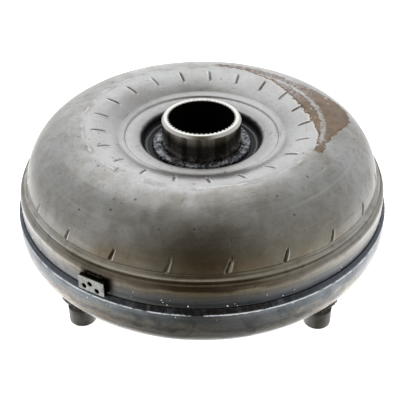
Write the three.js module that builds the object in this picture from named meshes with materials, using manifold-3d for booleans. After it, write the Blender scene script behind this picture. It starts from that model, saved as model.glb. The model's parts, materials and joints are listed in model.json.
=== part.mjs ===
// A welded automotive-type torque converter for a lift truck, standing on its four drive bosses.
//
// Millimetres, +Z up. The origin is on the axis of rotation, in the plane of the bosses' ends.
// The engine side (front cover, pilot, bosses) is at the bottom and the transmission side
// (impeller shell, pump hub) at the top. -Y is the side that carries the balance weight.
//
// Inside the welded housing turn the turbine, the stator on its roller clutch, and two needle cages.

import * as THREE from "three";
import { mergeVertices } from "three/addons/utils/BufferGeometryUtils.js";
import Module from "manifold-3d";

const wasm = await Module();
wasm.setup();

// ---------------------------------------------------------------------------------------------
// Driving dimensions
// ---------------------------------------------------------------------------------------------
const GAP = 0.3; // air left between pieces that touch on the real assembly
const OVERCUT = 1; // how far a cut runs past the face that it opens
const TURN = 2 * Math.PI;
const DEG = Math.PI / 180;

// The fluid circuit is one torus: its section is a circle about this point.
const TORUS_R = 98;
const TORUS_Z = 84;
const SHELL_OUT = 48; // outer face of the impeller shell, from the section's centre
const SHELL_IN = 44.5;
const TURBINE_OUT = 44;
const TURBINE_IN = 41.8;
const CORE_IN = 15.5; // the core rings that carry the vanes' inner edges
const CORE_OUT = 17;
const SPLIT = 3; // half the gap between the impeller's and the turbine's vanes, in degrees

// Housing
const RIM_R = 155.5; // cover lip, the largest radius
const LIP_Z = 60; // upper edge of the cover lip
const LIP_BORE_R = 153.2; // the impeller skirt sits in this register
const SKIRT_R = 152.5;
const SKIRT_IN_R = 149;
const SKIRT_END_Z = 51;
const SHELL_T = SHELL_OUT - SHELL_IN;
const SHOULDER = [[SKIRT_R, 77], [151.7, 82], [150.2, 85.4]]; // the skirt's turn inwards
const GROOVE = [[148.8, 84.8], [148.2, 87]]; // the crease between that shoulder and the torus
const SHOULDER_IN_Z = 79;
const TORUS_ARC = [9, 134]; // how much of the torus the shell covers, from the rim inwards
const DISH_EDGE_R = 63.4; // raised edge round the dish
const DISH_EDGE_Z = 120.3;
const DISH_SLOPE = [[50, 115], [45, 110.6]];
const DISH_SLOPE_IN = [[46.5, 106.8], [54, 113]];
const DISH_FLOOR_Z = 110;
const DISH_HOLE_R = 38;
const COVER_T = 5;
const COVER_FACE_Z = 16; // lower face of the cover's outer ring
const COVER_SHOULDER = 34;
const COVER_DISH_Z = 28; // lower face of the recessed middle
const COVER_DISH_R = 88;
const COVER_SLOPE = 10; // the recess widens by this much down to the outer ring
const COVER_SLOPE_IN = 2; // the slope's inner face is this much further out

// Engine-side mounting
const BOSS_COUNT = 4;
const BOSS_AZIMUTH = 43.3; // degrees of the first boss from -Y, towards +X
const BOSS_PCD_R = 134;
const BOSS_R = 11;
const BOSS_CHAMFER = 1.5;
const BOSS_WELD = 3; // leg of the fillet weld round a boss
const TAP_R = 4.25; // tapping size of an M10 thread
const TAP_DEPTH = 12;
const TAP_POINT = 2; // the drill's point beyond that depth
const PILOT_R = 17.5;
const PILOT_LEAD = [2, 3]; // the pilot's lead-in: across, along
const PILOT_END_Z = 4;
const PILOT_HOLE_R = 12;
const PILOT_WELD = [4, 3.5]; // legs of the pilot's weld: across, along

// Pump hub
const HUB_R = 32.6;
const HUB_TOP_Z = 135;
const HUB_BORE_R = 26.9; // tips of the serration
const HUB_ROOT_R = 27.8;
const HUB_TEETH = 48;
const HUB_TEETH_LENGTH = 18;
const HUB_CHAMFER = [1.6, 2]; // across, along
const HUB_FLANGE_R = 46;
const HUB_FLANGE_Z = 103.7;

// Balance weight, welded to the skirt
const WEIGHT_AZIMUTH = -31.3; // degrees from -Y, towards -X when negative
const WEIGHT_SIZE = [23, 5, 12]; // along the rim, outwards, up
const WEIGHT_Z = 70.8;
const POCKETS = [[-0.28, -0.22], [-0.05, 0.11], [0.21, -0.27]]; // as shares of the width and height
const POCKET_R = 1.9;
const POCKET_DEPTH = 3.5;
const WEIGHT_WELD_LENGTH = 16;
const WEIGHT_WELD = [[0, 0], [3, 0], [2.4, 1.6], [1, 2.4], [0, 2.6]]; // its section: out, up

// Vanes of the torus. Their angles are in degrees round the circuit's section, 0 at the rim.
const IMPELLER_VANES = 21;
const IMPELLER_PHASE = 3; // azimuth of the first vane's inner tab
const IMPELLER_TAB = 108; // where on the section that inner tab is
const IMPELLER_LEAN = 0.0457; // degrees about the axis for each degree from the inner tab
const IMPELLER_END = 140;
const TURBINE_VANES = 19;
const TURBINE_LEAN = 12; // degrees about the axis over the first quarter of the section
const TURBINE_END = -140;
const VANE_T = 1.2;
const VANE_CLEARANCE = 1.1;
const VANE_STEPS = 3; // straight steps in the curve of each vane

// Roller clutch and bearings
const CLUTCH_Z = [73.4, 94.6];
const INNER_RACE_R = 30;
const ROLLER_COUNT = 8;
const ROLLER_R = 3.9;
const ROLLER_PITCH_R = 34.2;
const OUTER_RACE_R = 46;
const STATOR_Z = [73, 95];
const STATOR_HUB_R = 56;
const STATOR_RIM_R = 78.5;
const STATOR_RIM_T = 3;
const STATOR_VANES = 15;
const STATOR_BLADE = [[-6.4, -9.4], [0.6, -6.2], [4.6, 0.4], [6.6, 9.6], [2.4, 2.4], [-1.8, -4.2]];
const STATOR_SPLINE = [22, 23.6, 18]; // radius at the tips, radius at the roots, teeth
const CAM_CLEARANCE = 0.45; // air round a roller in its pocket
const CAM_SLOT = [10, 8.2]; // room for a roller's spring: along the pocket, across it
const SPRING_START = 4.9; // from the roller's centre to the spring's first leaf
const SPRING_FOLDS = 3;
const SPRING_PITCH = 1.7;
const SPRING_SWING = [-1.8, 2.2]; // the folds' ends, across the pocket
const SPRING_T = 1.3;
const SPRING_INSET = 4; // the springs are this much shorter than the race at each end
const CAP_R = [31, 50];
const CAP_T = 3.7;
const NEEDLE_COUNT = 12;
const NEEDLE_MARGIN = 1.5; // cage left beyond the ends of the needles
const CAGE_INSET = 0.5; // the needles stand this far out of their cage
const UPPER_CAGE = [33, 45, 99.3, 101.7]; // inner radius, outer radius, lower face, upper face
const UPPER_RACE = [31, 45.5, 102, HUB_FLANGE_Z - GAP];
const LOWER_CAGE = [31, 43, 66.5, 68.9];
const LOWER_RACE = [29, 43.5, 64.3, 66.2];

// Turbine hub and its riveted joint
const TURBINE_HUB_R = 30;
const TURBINE_HUB_END_Z = 35.4;
const TURBINE_SEAT_R = 44; // seat for the lower bearing race
const TURBINE_SEAT_Z = 64;
const TURBINE_COLLAR_R = 28; // collar that centres that race
const TURBINE_COLLAR_Z = 68;
const TURBINE_FLANGE_R = 59;
const TURBINE_FLANGE_Z = [50.2, 57];
const TURBINE_FLARE = [8, 3]; // cone under the flange: across, along
const TURBINE_SPLINE = [17, 18.6, 16]; // radius at the tips, radius at the roots, teeth
const TURBINE_SHELL_END = -125; // where its torus ends on the section, degrees
const TURBINE_SHELL_FLAT_R = [41, 68]; // the flat that is riveted to the flange
const TURBINE_SHELL_T = TURBINE_OUT - TURBINE_IN;
const WASHER_R = [18, 29.5];
const RIVET_COUNT = 8;
const RIVET_PITCH_R = 51;
const RIVET_R = 2.8;
const RIVET_HEAD_R = 4.6;
const RIVET_HEAD_T = 2;
const RIVET_HEAD_BEVEL = 1;

// Facets of the round pieces
const SHELL_FACETS = 32;
const TURBINE_FACETS = 30;
const HUB_FACETS = 24;
const BEARING_FACETS = 20;
const BOSS_FACETS = 16;
const HOLE_FACETS = 12;
const RIVET_FACETS = 6;

// ---------------------------------------------------------------------------------------------
// Materials
// ---------------------------------------------------------------------------------------------
const material = (color, roughness, metalness = 1) =>
  new THREE.MeshStandardMaterial({ color, roughness, metalness });

const FINISH = {
  shell_steel: material(0xa8a69f, 0.42),
  cover_steel: material(0x8d9093, 0.45),
  machined_steel: material(0xc9c8c2, 0.22),
  weld_steel: material(0x4a4d52, 0.6),
  boss_steel: material(0x6d6a62, 0.75),
  stamped_steel: material(0x9a9c9c, 0.4),
  cast_aluminium: material(0xb9bcbe, 0.5),
  hardened_steel: material(0x8f9397, 0.25),
  spring_steel: material(0x5c6168, 0.35),
  bronze: material(0xb08a4a, 0.4),
};

// ---------------------------------------------------------------------------------------------
// Shape helpers
// ---------------------------------------------------------------------------------------------

/** A closed three.js geometry as a manifold-3d solid. */
function solidOf(geometry) {
  const bare = geometry.clone();
  bare.deleteAttribute("normal");
  bare.deleteAttribute("uv");
  const merged = mergeVertices(bare, 1e-4);
  return new wasm.Manifold(
    new wasm.Mesh({
      numProp: 3,
      vertProperties: merged.attributes.position.array,
      triVerts: new Uint32Array(merged.index.array),
    }),
  );
}

/** A manifold-3d solid as a flat-shaded three.js geometry. */
function geometryOf(solid) {
  const { vertProperties, triVerts } = solid.getMesh();
  const geometry = new THREE.BufferGeometry();
  geometry.setAttribute("position", new THREE.BufferAttribute(vertProperties, 3));
  geometry.setIndex(new THREE.BufferAttribute(triVerts, 1));
  const flat = geometry.toNonIndexed();
  flat.computeVertexNormals();
  return flat;
}

/** Turns a closed [r, z] outline about Z. The outline may be given either way round. */
function revolve(outline, facets) {
  const loop = [...outline, outline[0]];
  let area = 0;
  for (let i = 0; i + 1 < loop.length; i++) {
    area += loop[i][0] * loop[i + 1][1] - loop[i + 1][0] * loop[i][1];
  }
  if (area < 0) loop.reverse();
  const points = loop.map(([r, z]) => new THREE.Vector2(r, z));
  return new THREE.LatheGeometry(points, facets).rotateX(Math.PI / 2);
}

/** A ring of rectangular section. */
const ring = (inner, outer, z0, z1, facets = BEARING_FACETS) =>
  revolve([[inner, z0], [outer, z0], [outer, z1], [inner, z1]], facets);

/** A solid turned piece: its outline runs from the axis back to the axis. */
function turned(outline, facets) {
  const points = outline.map(([r, z]) => new THREE.Vector2(r, z));
  return new THREE.LatheGeometry(points, facets).rotateX(Math.PI / 2);
}

/** Points of an arc in the [r, z] plane, from one angle to another in degrees. */
function arc(r, z, radius, from, to, steps) {
  const points = [];
  for (let i = 0; i <= steps; i++) {
    const a = (from + ((to - from) * i) / steps) * DEG;
    points.push([r + radius * Math.cos(a), z + radius * Math.sin(a)]);
  }
  return points;
}

/** Extrudes a closed list of [x, y] points, with optional holes, from z0 to z1. */
function prism(outline, z0, z1, holes = []) {
  const shape = new THREE.Shape(outline.map(([x, y]) => new THREE.Vector2(x, y)));
  for (const hole of holes) {
    shape.holes.push(new THREE.Path(hole.map(([x, y]) => new THREE.Vector2(x, y))));
  }
  const options = { depth: z1 - z0, bevelEnabled: false, curveSegments: 1 };
  return new THREE.ExtrudeGeometry(shape, options).translate(0, 0, z0);
}

/** A regular polygon's points. */
function polygon(radius, count, phase = 0) {
  const points = [];
  for (let i = 0; i < count; i++) {
    const a = phase + (TURN * i) / count;
    points.push([radius * Math.cos(a), radius * Math.sin(a)]);
  }
  return points;
}

/**
 * A toothed outline of `count` teeth between a tip and a root radius. `profile` lists the corners
 * of one tooth, each as its share of the pitch and whether it lies at the root.
 */
function toothed(tip, root, count, profile) {
  const points = [];
  for (let i = 0; i < count; i++) {
    for (const [share, isRoot] of profile) {
      const a = (TURN * (i + share)) / count;
      const radius = isRoot ? root : tip;
      points.push([radius * Math.cos(a), radius * Math.sin(a)]);
    }
  }
  return points;
}

const SPLINE = [[0, false], [0.45, false], [0.55, true], [0.9, true]]; // straight-sided teeth
const SERRATION = [[0, false], [0.5, true]]; // V-shaped teeth

const group = new THREE.Group();
group.name = "torque_converter";

/** Adds one named piece. It takes a geometry or a manifold-3d solid. */
function add(name, shape, finish) {
  const geometry = shape.isBufferGeometry ? shape : geometryOf(shape);
  const mesh = new THREE.Mesh(geometry, FINISH[finish]);
  mesh.name = name;
  group.add(mesh);
  return mesh;
}

/** Angle from +X, in radians, of an azimuth in degrees counted from -Y. */
const azimuth = (degrees) => (degrees - 90) * DEG;

// ---------------------------------------------------------------------------------------------
// Housing: front cover, bosses and pilot
// ---------------------------------------------------------------------------------------------

/** The cover's lower face, `drop` mm outside the metal, from the pilot hole out to the lip. */
function coverFace(drop) {
  const centreR = RIM_R - COVER_SHOULDER;
  const centreZ = COVER_FACE_Z + COVER_SHOULDER;
  return [
    [PILOT_HOLE_R, COVER_DISH_Z - drop],
    [COVER_DISH_R, COVER_DISH_Z - drop],
    [COVER_DISH_R + COVER_SLOPE, COVER_FACE_Z - drop],
    ...arc(centreR, centreZ, COVER_SHOULDER + drop, -90, 0, 5),
  ];
}

/** The cover: a deep-drawn dish with a register for the impeller skirt inside its lip. */
function frontCover() {
  const innerR = RIM_R - COVER_T;
  const registerZ = SKIRT_END_Z - 1;
  const shoulderZ = COVER_FACE_Z + COVER_SHOULDER;
  const slopeR = COVER_DISH_R + COVER_SLOPE_IN;
  return revolve(
    [
      ...coverFace(0),
      [RIM_R, LIP_Z],
      [LIP_BORE_R, LIP_Z],
      [LIP_BORE_R, registerZ],
      [innerR, registerZ],
      ...arc(RIM_R - COVER_SHOULDER, shoulderZ, COVER_SHOULDER - COVER_T, 0, -90, 4),
      [slopeR + COVER_SLOPE, COVER_FACE_Z + COVER_T],
      [slopeR, COVER_DISH_Z + COVER_T],
      [PILOT_HOLE_R, COVER_DISH_Z + COVER_T],
    ],
    SHELL_FACETS,
  );
}

/** Everything above the cover's lower face moved out by `drop`, to trim what is welded to it. */
function aboveCover(drop) {
  const face = coverFace(drop);
  return solidOf(revolve([...face, [RIM_R + drop, LIP_Z], [PILOT_HOLE_R, LIP_Z]], SHELL_FACETS));
}

/** One drive boss, tapped from below and shaped to the cover's shoulder. */
function boss(x, y, clearance) {
  const body = turned(
    [
      [0, 0],
      [BOSS_R - BOSS_CHAMFER, 0],
      [BOSS_R, BOSS_CHAMFER],
      [BOSS_R, COVER_DISH_Z],
      [0, COVER_DISH_Z],
    ],
    BOSS_FACETS,
  ).translate(x, y, 0);
  const tap = turned(
    [
      [0, -OVERCUT],
      [TAP_R, -OVERCUT],
      [TAP_R, TAP_DEPTH],
      [0, TAP_DEPTH + TAP_POINT],
    ],
    HOLE_FACETS,
  ).translate(x, y, 0);
  return solidOf(body).subtract(clearance).subtract(solidOf(tap));
}

/** The fillet weld round a boss: a collar that follows the cover's face. */
function bossWeld(x, y, clearance, skin) {
  const inner = BOSS_R + GAP;
  const collar = ring(inner, inner + BOSS_WELD, COVER_FACE_Z - 2 * BOSS_WELD, LIP_Z, BOSS_FACETS);
  return solidOf(collar.translate(x, y, 0)).intersect(skin).subtract(clearance);
}

function buildCover() {
  add("front_cover", frontCover(), "cover_steel");
  const clearance = aboveCover(GAP);
  const skin = aboveCover(BOSS_WELD);
  for (let i = 0; i < BOSS_COUNT; i++) {
    const a = azimuth(BOSS_AZIMUTH + (360 * i) / BOSS_COUNT);
    const x = BOSS_PCD_R * Math.cos(a);
    const y = BOSS_PCD_R * Math.sin(a);
    add(`mounting_boss_${i + 1}`, boss(x, y, clearance), "boss_steel");
    add(`boss_weld_${i + 1}`, bossWeld(x, y, clearance, skin), "weld_steel");
  }

  const spigotR = PILOT_HOLE_R - GAP;
  const spigotEndZ = COVER_DISH_Z + COVER_T - 1;
  const seatZ = COVER_DISH_Z - GAP;
  const pilot = [
    [0, PILOT_END_Z],
    [PILOT_R - PILOT_LEAD[0], PILOT_END_Z],
    [PILOT_R, PILOT_END_Z + PILOT_LEAD[1]],
    [PILOT_R, seatZ],
    [spigotR, seatZ],
    [spigotR, spigotEndZ],
    [0, spigotEndZ],
  ];
  add("crank_pilot", turned(pilot, BEARING_FACETS), "machined_steel");
  const bead = [
    [PILOT_R + GAP, seatZ],
    [PILOT_R + GAP, seatZ - PILOT_WELD[1]],
    [PILOT_R + PILOT_WELD[0], seatZ],
  ];
  add("pilot_weld", revolve(bead, BEARING_FACETS), "weld_steel");
}

// ---------------------------------------------------------------------------------------------
// Housing: impeller
// ---------------------------------------------------------------------------------------------

/** The impeller shell: dish, torus, shoulder and skirt in one stamping. */
function impellerShell() {
  const [rimEnd, dishEnd] = TORUS_ARC;
  const outside = [
    [SKIRT_R, SKIRT_END_Z],
    ...SHOULDER,
    ...GROOVE,
    ...arc(TORUS_R, TORUS_Z, SHELL_OUT, rimEnd, dishEnd, 7),
    [DISH_EDGE_R, DISH_EDGE_Z],
    ...DISH_SLOPE,
    [DISH_HOLE_R, DISH_FLOOR_Z],
  ];
  const inside = [
    [DISH_HOLE_R, DISH_FLOOR_Z - SHELL_T],
    ...DISH_SLOPE_IN,
    ...arc(TORUS_R, TORUS_Z, SHELL_IN, dishEnd, rimEnd - 5, 6),
    [SKIRT_IN_R, SHOULDER_IN_Z],
    [SKIRT_IN_R, SKIRT_END_Z],
  ];
  return revolve([...outside, ...inside], SHELL_FACETS);
}

/**
 * A torus vane: a plate between two arcs of the circuit's section, bent by turning each point
 * about Z by an angle that depends on how far round the section it is.
 */
function vane(shellRadius, from, to, sweep) {
  const outline = [
    ...arc(TORUS_R, TORUS_Z, shellRadius, from, to, VANE_STEPS),
    ...arc(TORUS_R, TORUS_Z, (CORE_IN + CORE_OUT) / 2, to, from, VANE_STEPS),
  ];
  const plate = prism(outline, -VANE_T / 2, VANE_T / 2).rotateX(Math.PI / 2);
  const at = plate.attributes.position;
  for (let i = 0; i < at.count; i++) {
    const x = at.getX(i);
    const y = at.getY(i);
    const z = at.getZ(i);
    const round = Math.atan2(z - TORUS_Z, Math.hypot(x, y) - TORUS_R) / DEG;
    const turn = sweep(round) * DEG;
    at.setXY(i, x * Math.cos(turn) - y * Math.sin(turn), x * Math.sin(turn) + y * Math.cos(turn));
  }
  return plate;
}

/**
 * A vane wheel: half of the core ring with its vanes brazed on. `from` and `to` bound the half on
 * the section, and `phase` is the first vane's place in degrees from +X.
 */
function vaneWheel(count, phase, shellRadius, from, to, sweep) {
  const core = [
    ...arc(TORUS_R, TORUS_Z, CORE_OUT, from, to, VANE_STEPS),
    ...arc(TORUS_R, TORUS_Z, CORE_IN, to, from, VANE_STEPS),
  ];
  let wheel = solidOf(revolve(core, count).rotateZ(phase * DEG + Math.PI / 2));
  const plate = vane(shellRadius, from, to, sweep);
  for (let i = 0; i < count; i++) {
    const one = plate.clone().rotateZ((phase + (360 * i) / count) * DEG);
    wheel = wheel.add(solidOf(one));
  }
  return wheel;
}

/** The pump hub: a ground tube with a fine internal serration, on a flange inside the shell. */
function pumpHub() {
  const flangeTop = DISH_FLOOR_Z - SHELL_T - GAP;
  const body = revolve(
    [
      [HUB_BORE_R, HUB_FLANGE_Z],
      [HUB_FLANGE_R, HUB_FLANGE_Z],
      [HUB_FLANGE_R, flangeTop],
      [DISH_HOLE_R - GAP, flangeTop],
      [DISH_HOLE_R - GAP, DISH_FLOOR_Z],
      [HUB_R, DISH_FLOOR_Z],
      [HUB_R, HUB_TOP_Z - HUB_CHAMFER[1]],
      [HUB_R - HUB_CHAMFER[0], HUB_TOP_Z],
      [HUB_BORE_R, HUB_TOP_Z],
    ],
    HUB_FACETS,
  );
  const teeth = toothed(HUB_BORE_R - GAP, HUB_ROOT_R, HUB_TEETH, SERRATION);
  const cutter = prism(teeth, HUB_TOP_Z - HUB_TEETH_LENGTH, HUB_TOP_Z + OVERCUT);
  return solidOf(body).subtract(solidOf(cutter));
}

/** The balance weight: a flat block with three drilled pockets, its back on the skirt. */
function balanceWeight() {
  const [width, depth, height] = WEIGHT_SIZE;
  let solid = solidOf(new THREE.BoxGeometry(width, depth, height));
  const drill = new THREE.CylinderGeometry(POCKET_R, POCKET_R, depth, HOLE_FACETS);
  const out = depth - POCKET_DEPTH;
  for (const [u, v] of POCKETS) {
    solid = solid.subtract(solidOf(drill.clone().translate(u * width, -out, v * height)));
  }
  return geometryOf(solid);
}

function buildImpeller() {
  add("impeller_shell", impellerShell(), "shell_steel");
  const lean = (round) => (IMPELLER_TAB - round) * IMPELLER_LEAN;
  const phase = azimuth(IMPELLER_PHASE) / DEG;
  const reach = SHELL_IN - VANE_CLEARANCE;
  const vanes = vaneWheel(IMPELLER_VANES, phase, reach, SPLIT, IMPELLER_END, lean);
  add("impeller_vane_wheel", vanes, "stamped_steel");
  add("pump_hub", pumpHub(), "machined_steel");

  const hubBead = [
    [HUB_R + GAP, DISH_FLOOR_Z + GAP],
    [41.5, DISH_FLOOR_Z + 2 * GAP],
    [40, DISH_FLOOR_Z + 2.2],
    [36.5, DISH_FLOOR_Z + 3],
    [HUB_R + GAP, DISH_FLOOR_Z + 2.4],
  ];
  add("hub_weld", revolve(hubBead, HUB_FACETS), "weld_steel");

  const rimBead = [
    [SKIRT_R + GAP, LIP_Z + GAP],
    [RIM_R - 0.2, LIP_Z + GAP],
    [RIM_R - 0.4, LIP_Z + 2],
    [SKIRT_R + GAP, LIP_Z + 4.2],
  ];
  add("closing_weld", revolve(rimBead, SHELL_FACETS), "weld_steel");

  const [, depth, height] = WEIGHT_SIZE;
  const seat = new THREE.Group();
  seat.rotation.z = azimuth(WEIGHT_AZIMUTH) + Math.PI / 2;
  group.add(seat);
  const weight = add("balance_weight", balanceWeight(), "machined_steel");
  weight.position.set(0, -SKIRT_R - GAP - depth / 2, WEIGHT_Z);
  seat.add(weight);
  const half = WEIGHT_WELD_LENGTH / 2;
  const bead = prism(WEIGHT_WELD, -half, half).rotateX(Math.PI / 2).rotateZ(-Math.PI / 2);
  const weld = add("weight_weld", bead, "weld_steel");
  weld.position.set(0, -SKIRT_R - GAP, WEIGHT_Z + height / 2 + GAP);
  seat.add(weld);
}

// ---------------------------------------------------------------------------------------------
// Turbine
// ---------------------------------------------------------------------------------------------

/** Round holes for the rivets, as one solid, from z0 to z1. */
function rivetHoles(z0, z1) {
  let holes = null;
  for (let i = 0; i < RIVET_COUNT; i++) {
    const a = (TURN * i) / RIVET_COUNT;
    const hole = prism(polygon(RIVET_R + GAP, 8), z0, z1);
    const x = RIVET_PITCH_R * Math.cos(a);
    const y = RIVET_PITCH_R * Math.sin(a);
    const solid = solidOf(hole.translate(x, y, 0));
    holes = holes ? holes.add(solid) : solid;
  }
  return holes;
}

function buildTurbine() {
  const [flangeLow, flangeHigh] = TURBINE_FLANGE_Z;
  const [flatIn, flatOut] = TURBINE_SHELL_FLAT_R;
  const flatHigh = flangeLow - GAP;
  const flatLow = flatHigh - TURBINE_SHELL_T;
  const shell = [
    ...arc(TORUS_R, TORUS_Z, TURBINE_OUT, -SPLIT, TURBINE_SHELL_END, 6),
    [flatOut, flatLow],
    [flatIn, flatLow],
    [flatIn, flatHigh],
    [flatOut + 1, flatHigh],
    ...arc(TORUS_R, TORUS_Z, TURBINE_IN, TURBINE_SHELL_END, -SPLIT, 6),
  ];
  const holes = rivetHoles(flatLow - OVERCUT, flangeHigh + OVERCUT);
  add("turbine_shell", solidOf(revolve(shell, TURBINE_FACETS)).subtract(holes), "stamped_steel");

  const lean = (round) => TURBINE_LEAN * (Math.cos(round * DEG) - 1);
  const reach = TURBINE_IN - VANE_CLEARANCE;
  const wheel = vaneWheel(TURBINE_VANES, 0, reach, -SPLIT, TURBINE_END, lean);
  add("turbine_vane_wheel", wheel, "stamped_steel");

  const [tip, root, teeth] = TURBINE_SPLINE;
  const boreR = tip - OVERCUT;
  const hub = [
    [boreR, TURBINE_HUB_END_Z],
    [TURBINE_HUB_R, TURBINE_HUB_END_Z],
    [TURBINE_HUB_R, flangeLow - TURBINE_FLARE[1]],
    [TURBINE_HUB_R + TURBINE_FLARE[0], flangeLow],
    [TURBINE_FLANGE_R, flangeLow],
    [TURBINE_FLANGE_R, flangeHigh],
    [TURBINE_SEAT_R, flangeHigh],
    [TURBINE_SEAT_R, TURBINE_SEAT_Z],
    [TURBINE_COLLAR_R, TURBINE_SEAT_Z],
    [TURBINE_COLLAR_R, TURBINE_COLLAR_Z],
    [boreR, TURBINE_COLLAR_Z],
  ];
  const outline = toothed(tip, root, teeth, SPLINE);
  const spline = prism(outline, TURBINE_HUB_END_Z - OVERCUT, TURBINE_COLLAR_Z + OVERCUT);
  const hubSolid = solidOf(revolve(hub, TURBINE_FACETS)).subtract(solidOf(spline));
  add("turbine_hub", hubSolid.subtract(holes), "machined_steel");

  const low = flatLow - GAP;
  const high = flangeHigh + GAP;
  const crownR = RIVET_HEAD_R - RIVET_HEAD_BEVEL;
  const rivet = turned(
    [
      [0, low - RIVET_HEAD_T],
      [crownR, low - RIVET_HEAD_T],
      [RIVET_HEAD_R, low],
      [RIVET_R, low],
      [RIVET_R, high],
      [RIVET_HEAD_R, high],
      [crownR, high + RIVET_HEAD_T],
      [0, high + RIVET_HEAD_T],
    ],
    RIVET_FACETS,
  );
  for (let i = 0; i < RIVET_COUNT; i++) {
    const a = (TURN * i) / RIVET_COUNT;
    const piece = add(`turbine_rivet_${i + 1}`, rivet, "hardened_steel");
    piece.position.set(RIVET_PITCH_R * Math.cos(a), RIVET_PITCH_R * Math.sin(a), 0);
  }
  const washerZ = COVER_DISH_Z + COVER_T + GAP;
  add("turbine_thrust_washer", ring(...WASHER_R, washerZ, TURBINE_HUB_END_Z - GAP), "bronze");
}

// ---------------------------------------------------------------------------------------------
// Stator, roller clutch and thrust bearings
// ---------------------------------------------------------------------------------------------

/** The cast stator: hub, vanes of cambered section, and outer rim. */
function statorWheel() {
  const [z0, z1] = STATOR_Z;
  const middle = (z0 + z1) / 2;
  let wheel = solidOf(ring(OUTER_RACE_R + GAP, STATOR_HUB_R, z0, z1));
  wheel = wheel.add(solidOf(ring(STATOR_RIM_R, STATOR_RIM_R + STATOR_RIM_T, z0, z1)));
  const rootR = STATOR_HUB_R - OVERCUT;
  const tipR = STATOR_RIM_R + OVERCUT;
  const blade = prism(STATOR_BLADE, 0, tipR - rootR)
    .rotateX(Math.PI / 2)
    .rotateY(Math.PI)
    .translate(0, tipR, middle);
  for (let i = 0; i < STATOR_VANES; i++) {
    wheel = wheel.add(solidOf(blade.clone().rotateZ((TURN * i) / STATOR_VANES)));
  }
  return wheel;
}

/** The clutch's outer race, with a pocket for each roller and its spring. */
function camRace() {
  const [z0, z1] = CLUTCH_Z;
  let race = solidOf(ring(INNER_RACE_R + 1, OUTER_RACE_R, z0, z1));
  const outline = polygon(ROLLER_R + CAM_CLEARANCE, HOLE_FACETS);
  const seat = prism(outline, z0 - OVERCUT, z1 + OVERCUT).translate(0, ROLLER_PITCH_R, 0);
  const [along, across] = CAM_SLOT;
  const slot = new THREE.BoxGeometry(along, across, z1 - z0 + 2 * OVERCUT);
  slot.translate(-along / 2, ROLLER_PITCH_R - CAM_CLEARANCE, (z0 + z1) / 2);
  const pocket = solidOf(seat).add(solidOf(slot));
  const pocketGeometry = geometryOf(pocket);
  for (let i = 0; i < ROLLER_COUNT; i++) {
    race = race.subtract(solidOf(pocketGeometry.clone().rotateZ((TURN * i) / ROLLER_COUNT)));
  }
  return race;
}

/** A folded leaf spring that pushes one roller along its pocket. */
function rollerSpring() {
  const [z0, z1] = CLUTCH_Z;
  const upper = [];
  const lower = [];
  for (let i = 0; i <= SPRING_FOLDS; i++) {
    const x = -SPRING_START - i * SPRING_PITCH;
    const y = ROLLER_PITCH_R + SPRING_SWING[i % 2];
    upper.push([x, y + SPRING_T / 2]);
    lower.unshift([x, y - SPRING_T / 2]);
  }
  return prism([...upper, ...lower], z0 + SPRING_INSET, z1 - SPRING_INSET);
}

/** A thrust bearing's cage with its needles standing proud of it. */
function needleCage(inner, outer, z0, z1) {
  let cage = solidOf(ring(inner, outer, z0 + CAGE_INSET, z1 - CAGE_INSET));
  const radius = (z1 - z0) / 2;
  const length = outer - inner - 2 * NEEDLE_MARGIN;
  const needle = new THREE.CylinderGeometry(radius, radius, length, RIVET_FACETS);
  needle.translate(0, (inner + outer) / 2, 0);
  for (let i = 0; i < NEEDLE_COUNT; i++) {
    const one = needle.clone().rotateZ((TURN * (i + 0.5)) / NEEDLE_COUNT);
    cage = cage.add(solidOf(one.translate(0, 0, (z0 + z1) / 2)));
  }
  return cage;
}

function buildStator() {
  const [z0, z1] = CLUTCH_Z;
  add("stator_wheel", statorWheel(), "cast_aluminium");
  add("clutch_outer_race", camRace(), "hardened_steel");
  const [tip, root, teeth] = STATOR_SPLINE;
  const outline = polygon(INNER_RACE_R, 2 * teeth);
  const bore = toothed(tip, root, teeth, SPLINE);
  add("clutch_inner_race", prism(outline, z0, z1, [bore]), "hardened_steel");

  const roller = prism(polygon(ROLLER_R, HOLE_FACETS), z0 + 2 * GAP, z1 - 2 * GAP);
  const spring = rollerSpring();
  for (let i = 0; i < ROLLER_COUNT; i++) {
    const a = (TURN * i) / ROLLER_COUNT;
    const one = add(`clutch_roller_${i + 1}`, roller, "hardened_steel");
    one.position.set(-ROLLER_PITCH_R * Math.sin(a), ROLLER_PITCH_R * Math.cos(a), 0);
    const leaf = add(`roller_spring_${i + 1}`, spring, "spring_steel");
    leaf.rotation.z = a;
  }

  const capLow = STATOR_Z[0] - GAP;
  const capHigh = STATOR_Z[1] + GAP;
  add("clutch_cap_upper", ring(...CAP_R, capHigh, capHigh + CAP_T), "bronze");
  add("clutch_cap_lower", ring(...CAP_R, capLow - CAP_T, capLow), "bronze");
  add("upper_needle_cage", needleCage(...UPPER_CAGE), "hardened_steel");
  add("upper_bearing_race", ring(...UPPER_RACE), "hardened_steel");
  add("lower_needle_cage", needleCage(...LOWER_CAGE), "hardened_steel");
  add("lower_bearing_race", ring(...LOWER_RACE), "hardened_steel");
}

buildCover();
buildImpeller();
buildTurbine();
buildStator();

export default group;
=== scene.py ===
"""The looks of a welded torque converter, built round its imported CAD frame.

Lengths are in millimetres until a mesh is made, and MM turns them into Blender's metres. The
axis of rotation is Z, the floor is z = 0, and azimuths count from -Y, the side the camera is on,
towards +X.
"""

import json
import math
import random

import bmesh
import bpy
from mathutils import Matrix, Vector, noise


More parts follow.
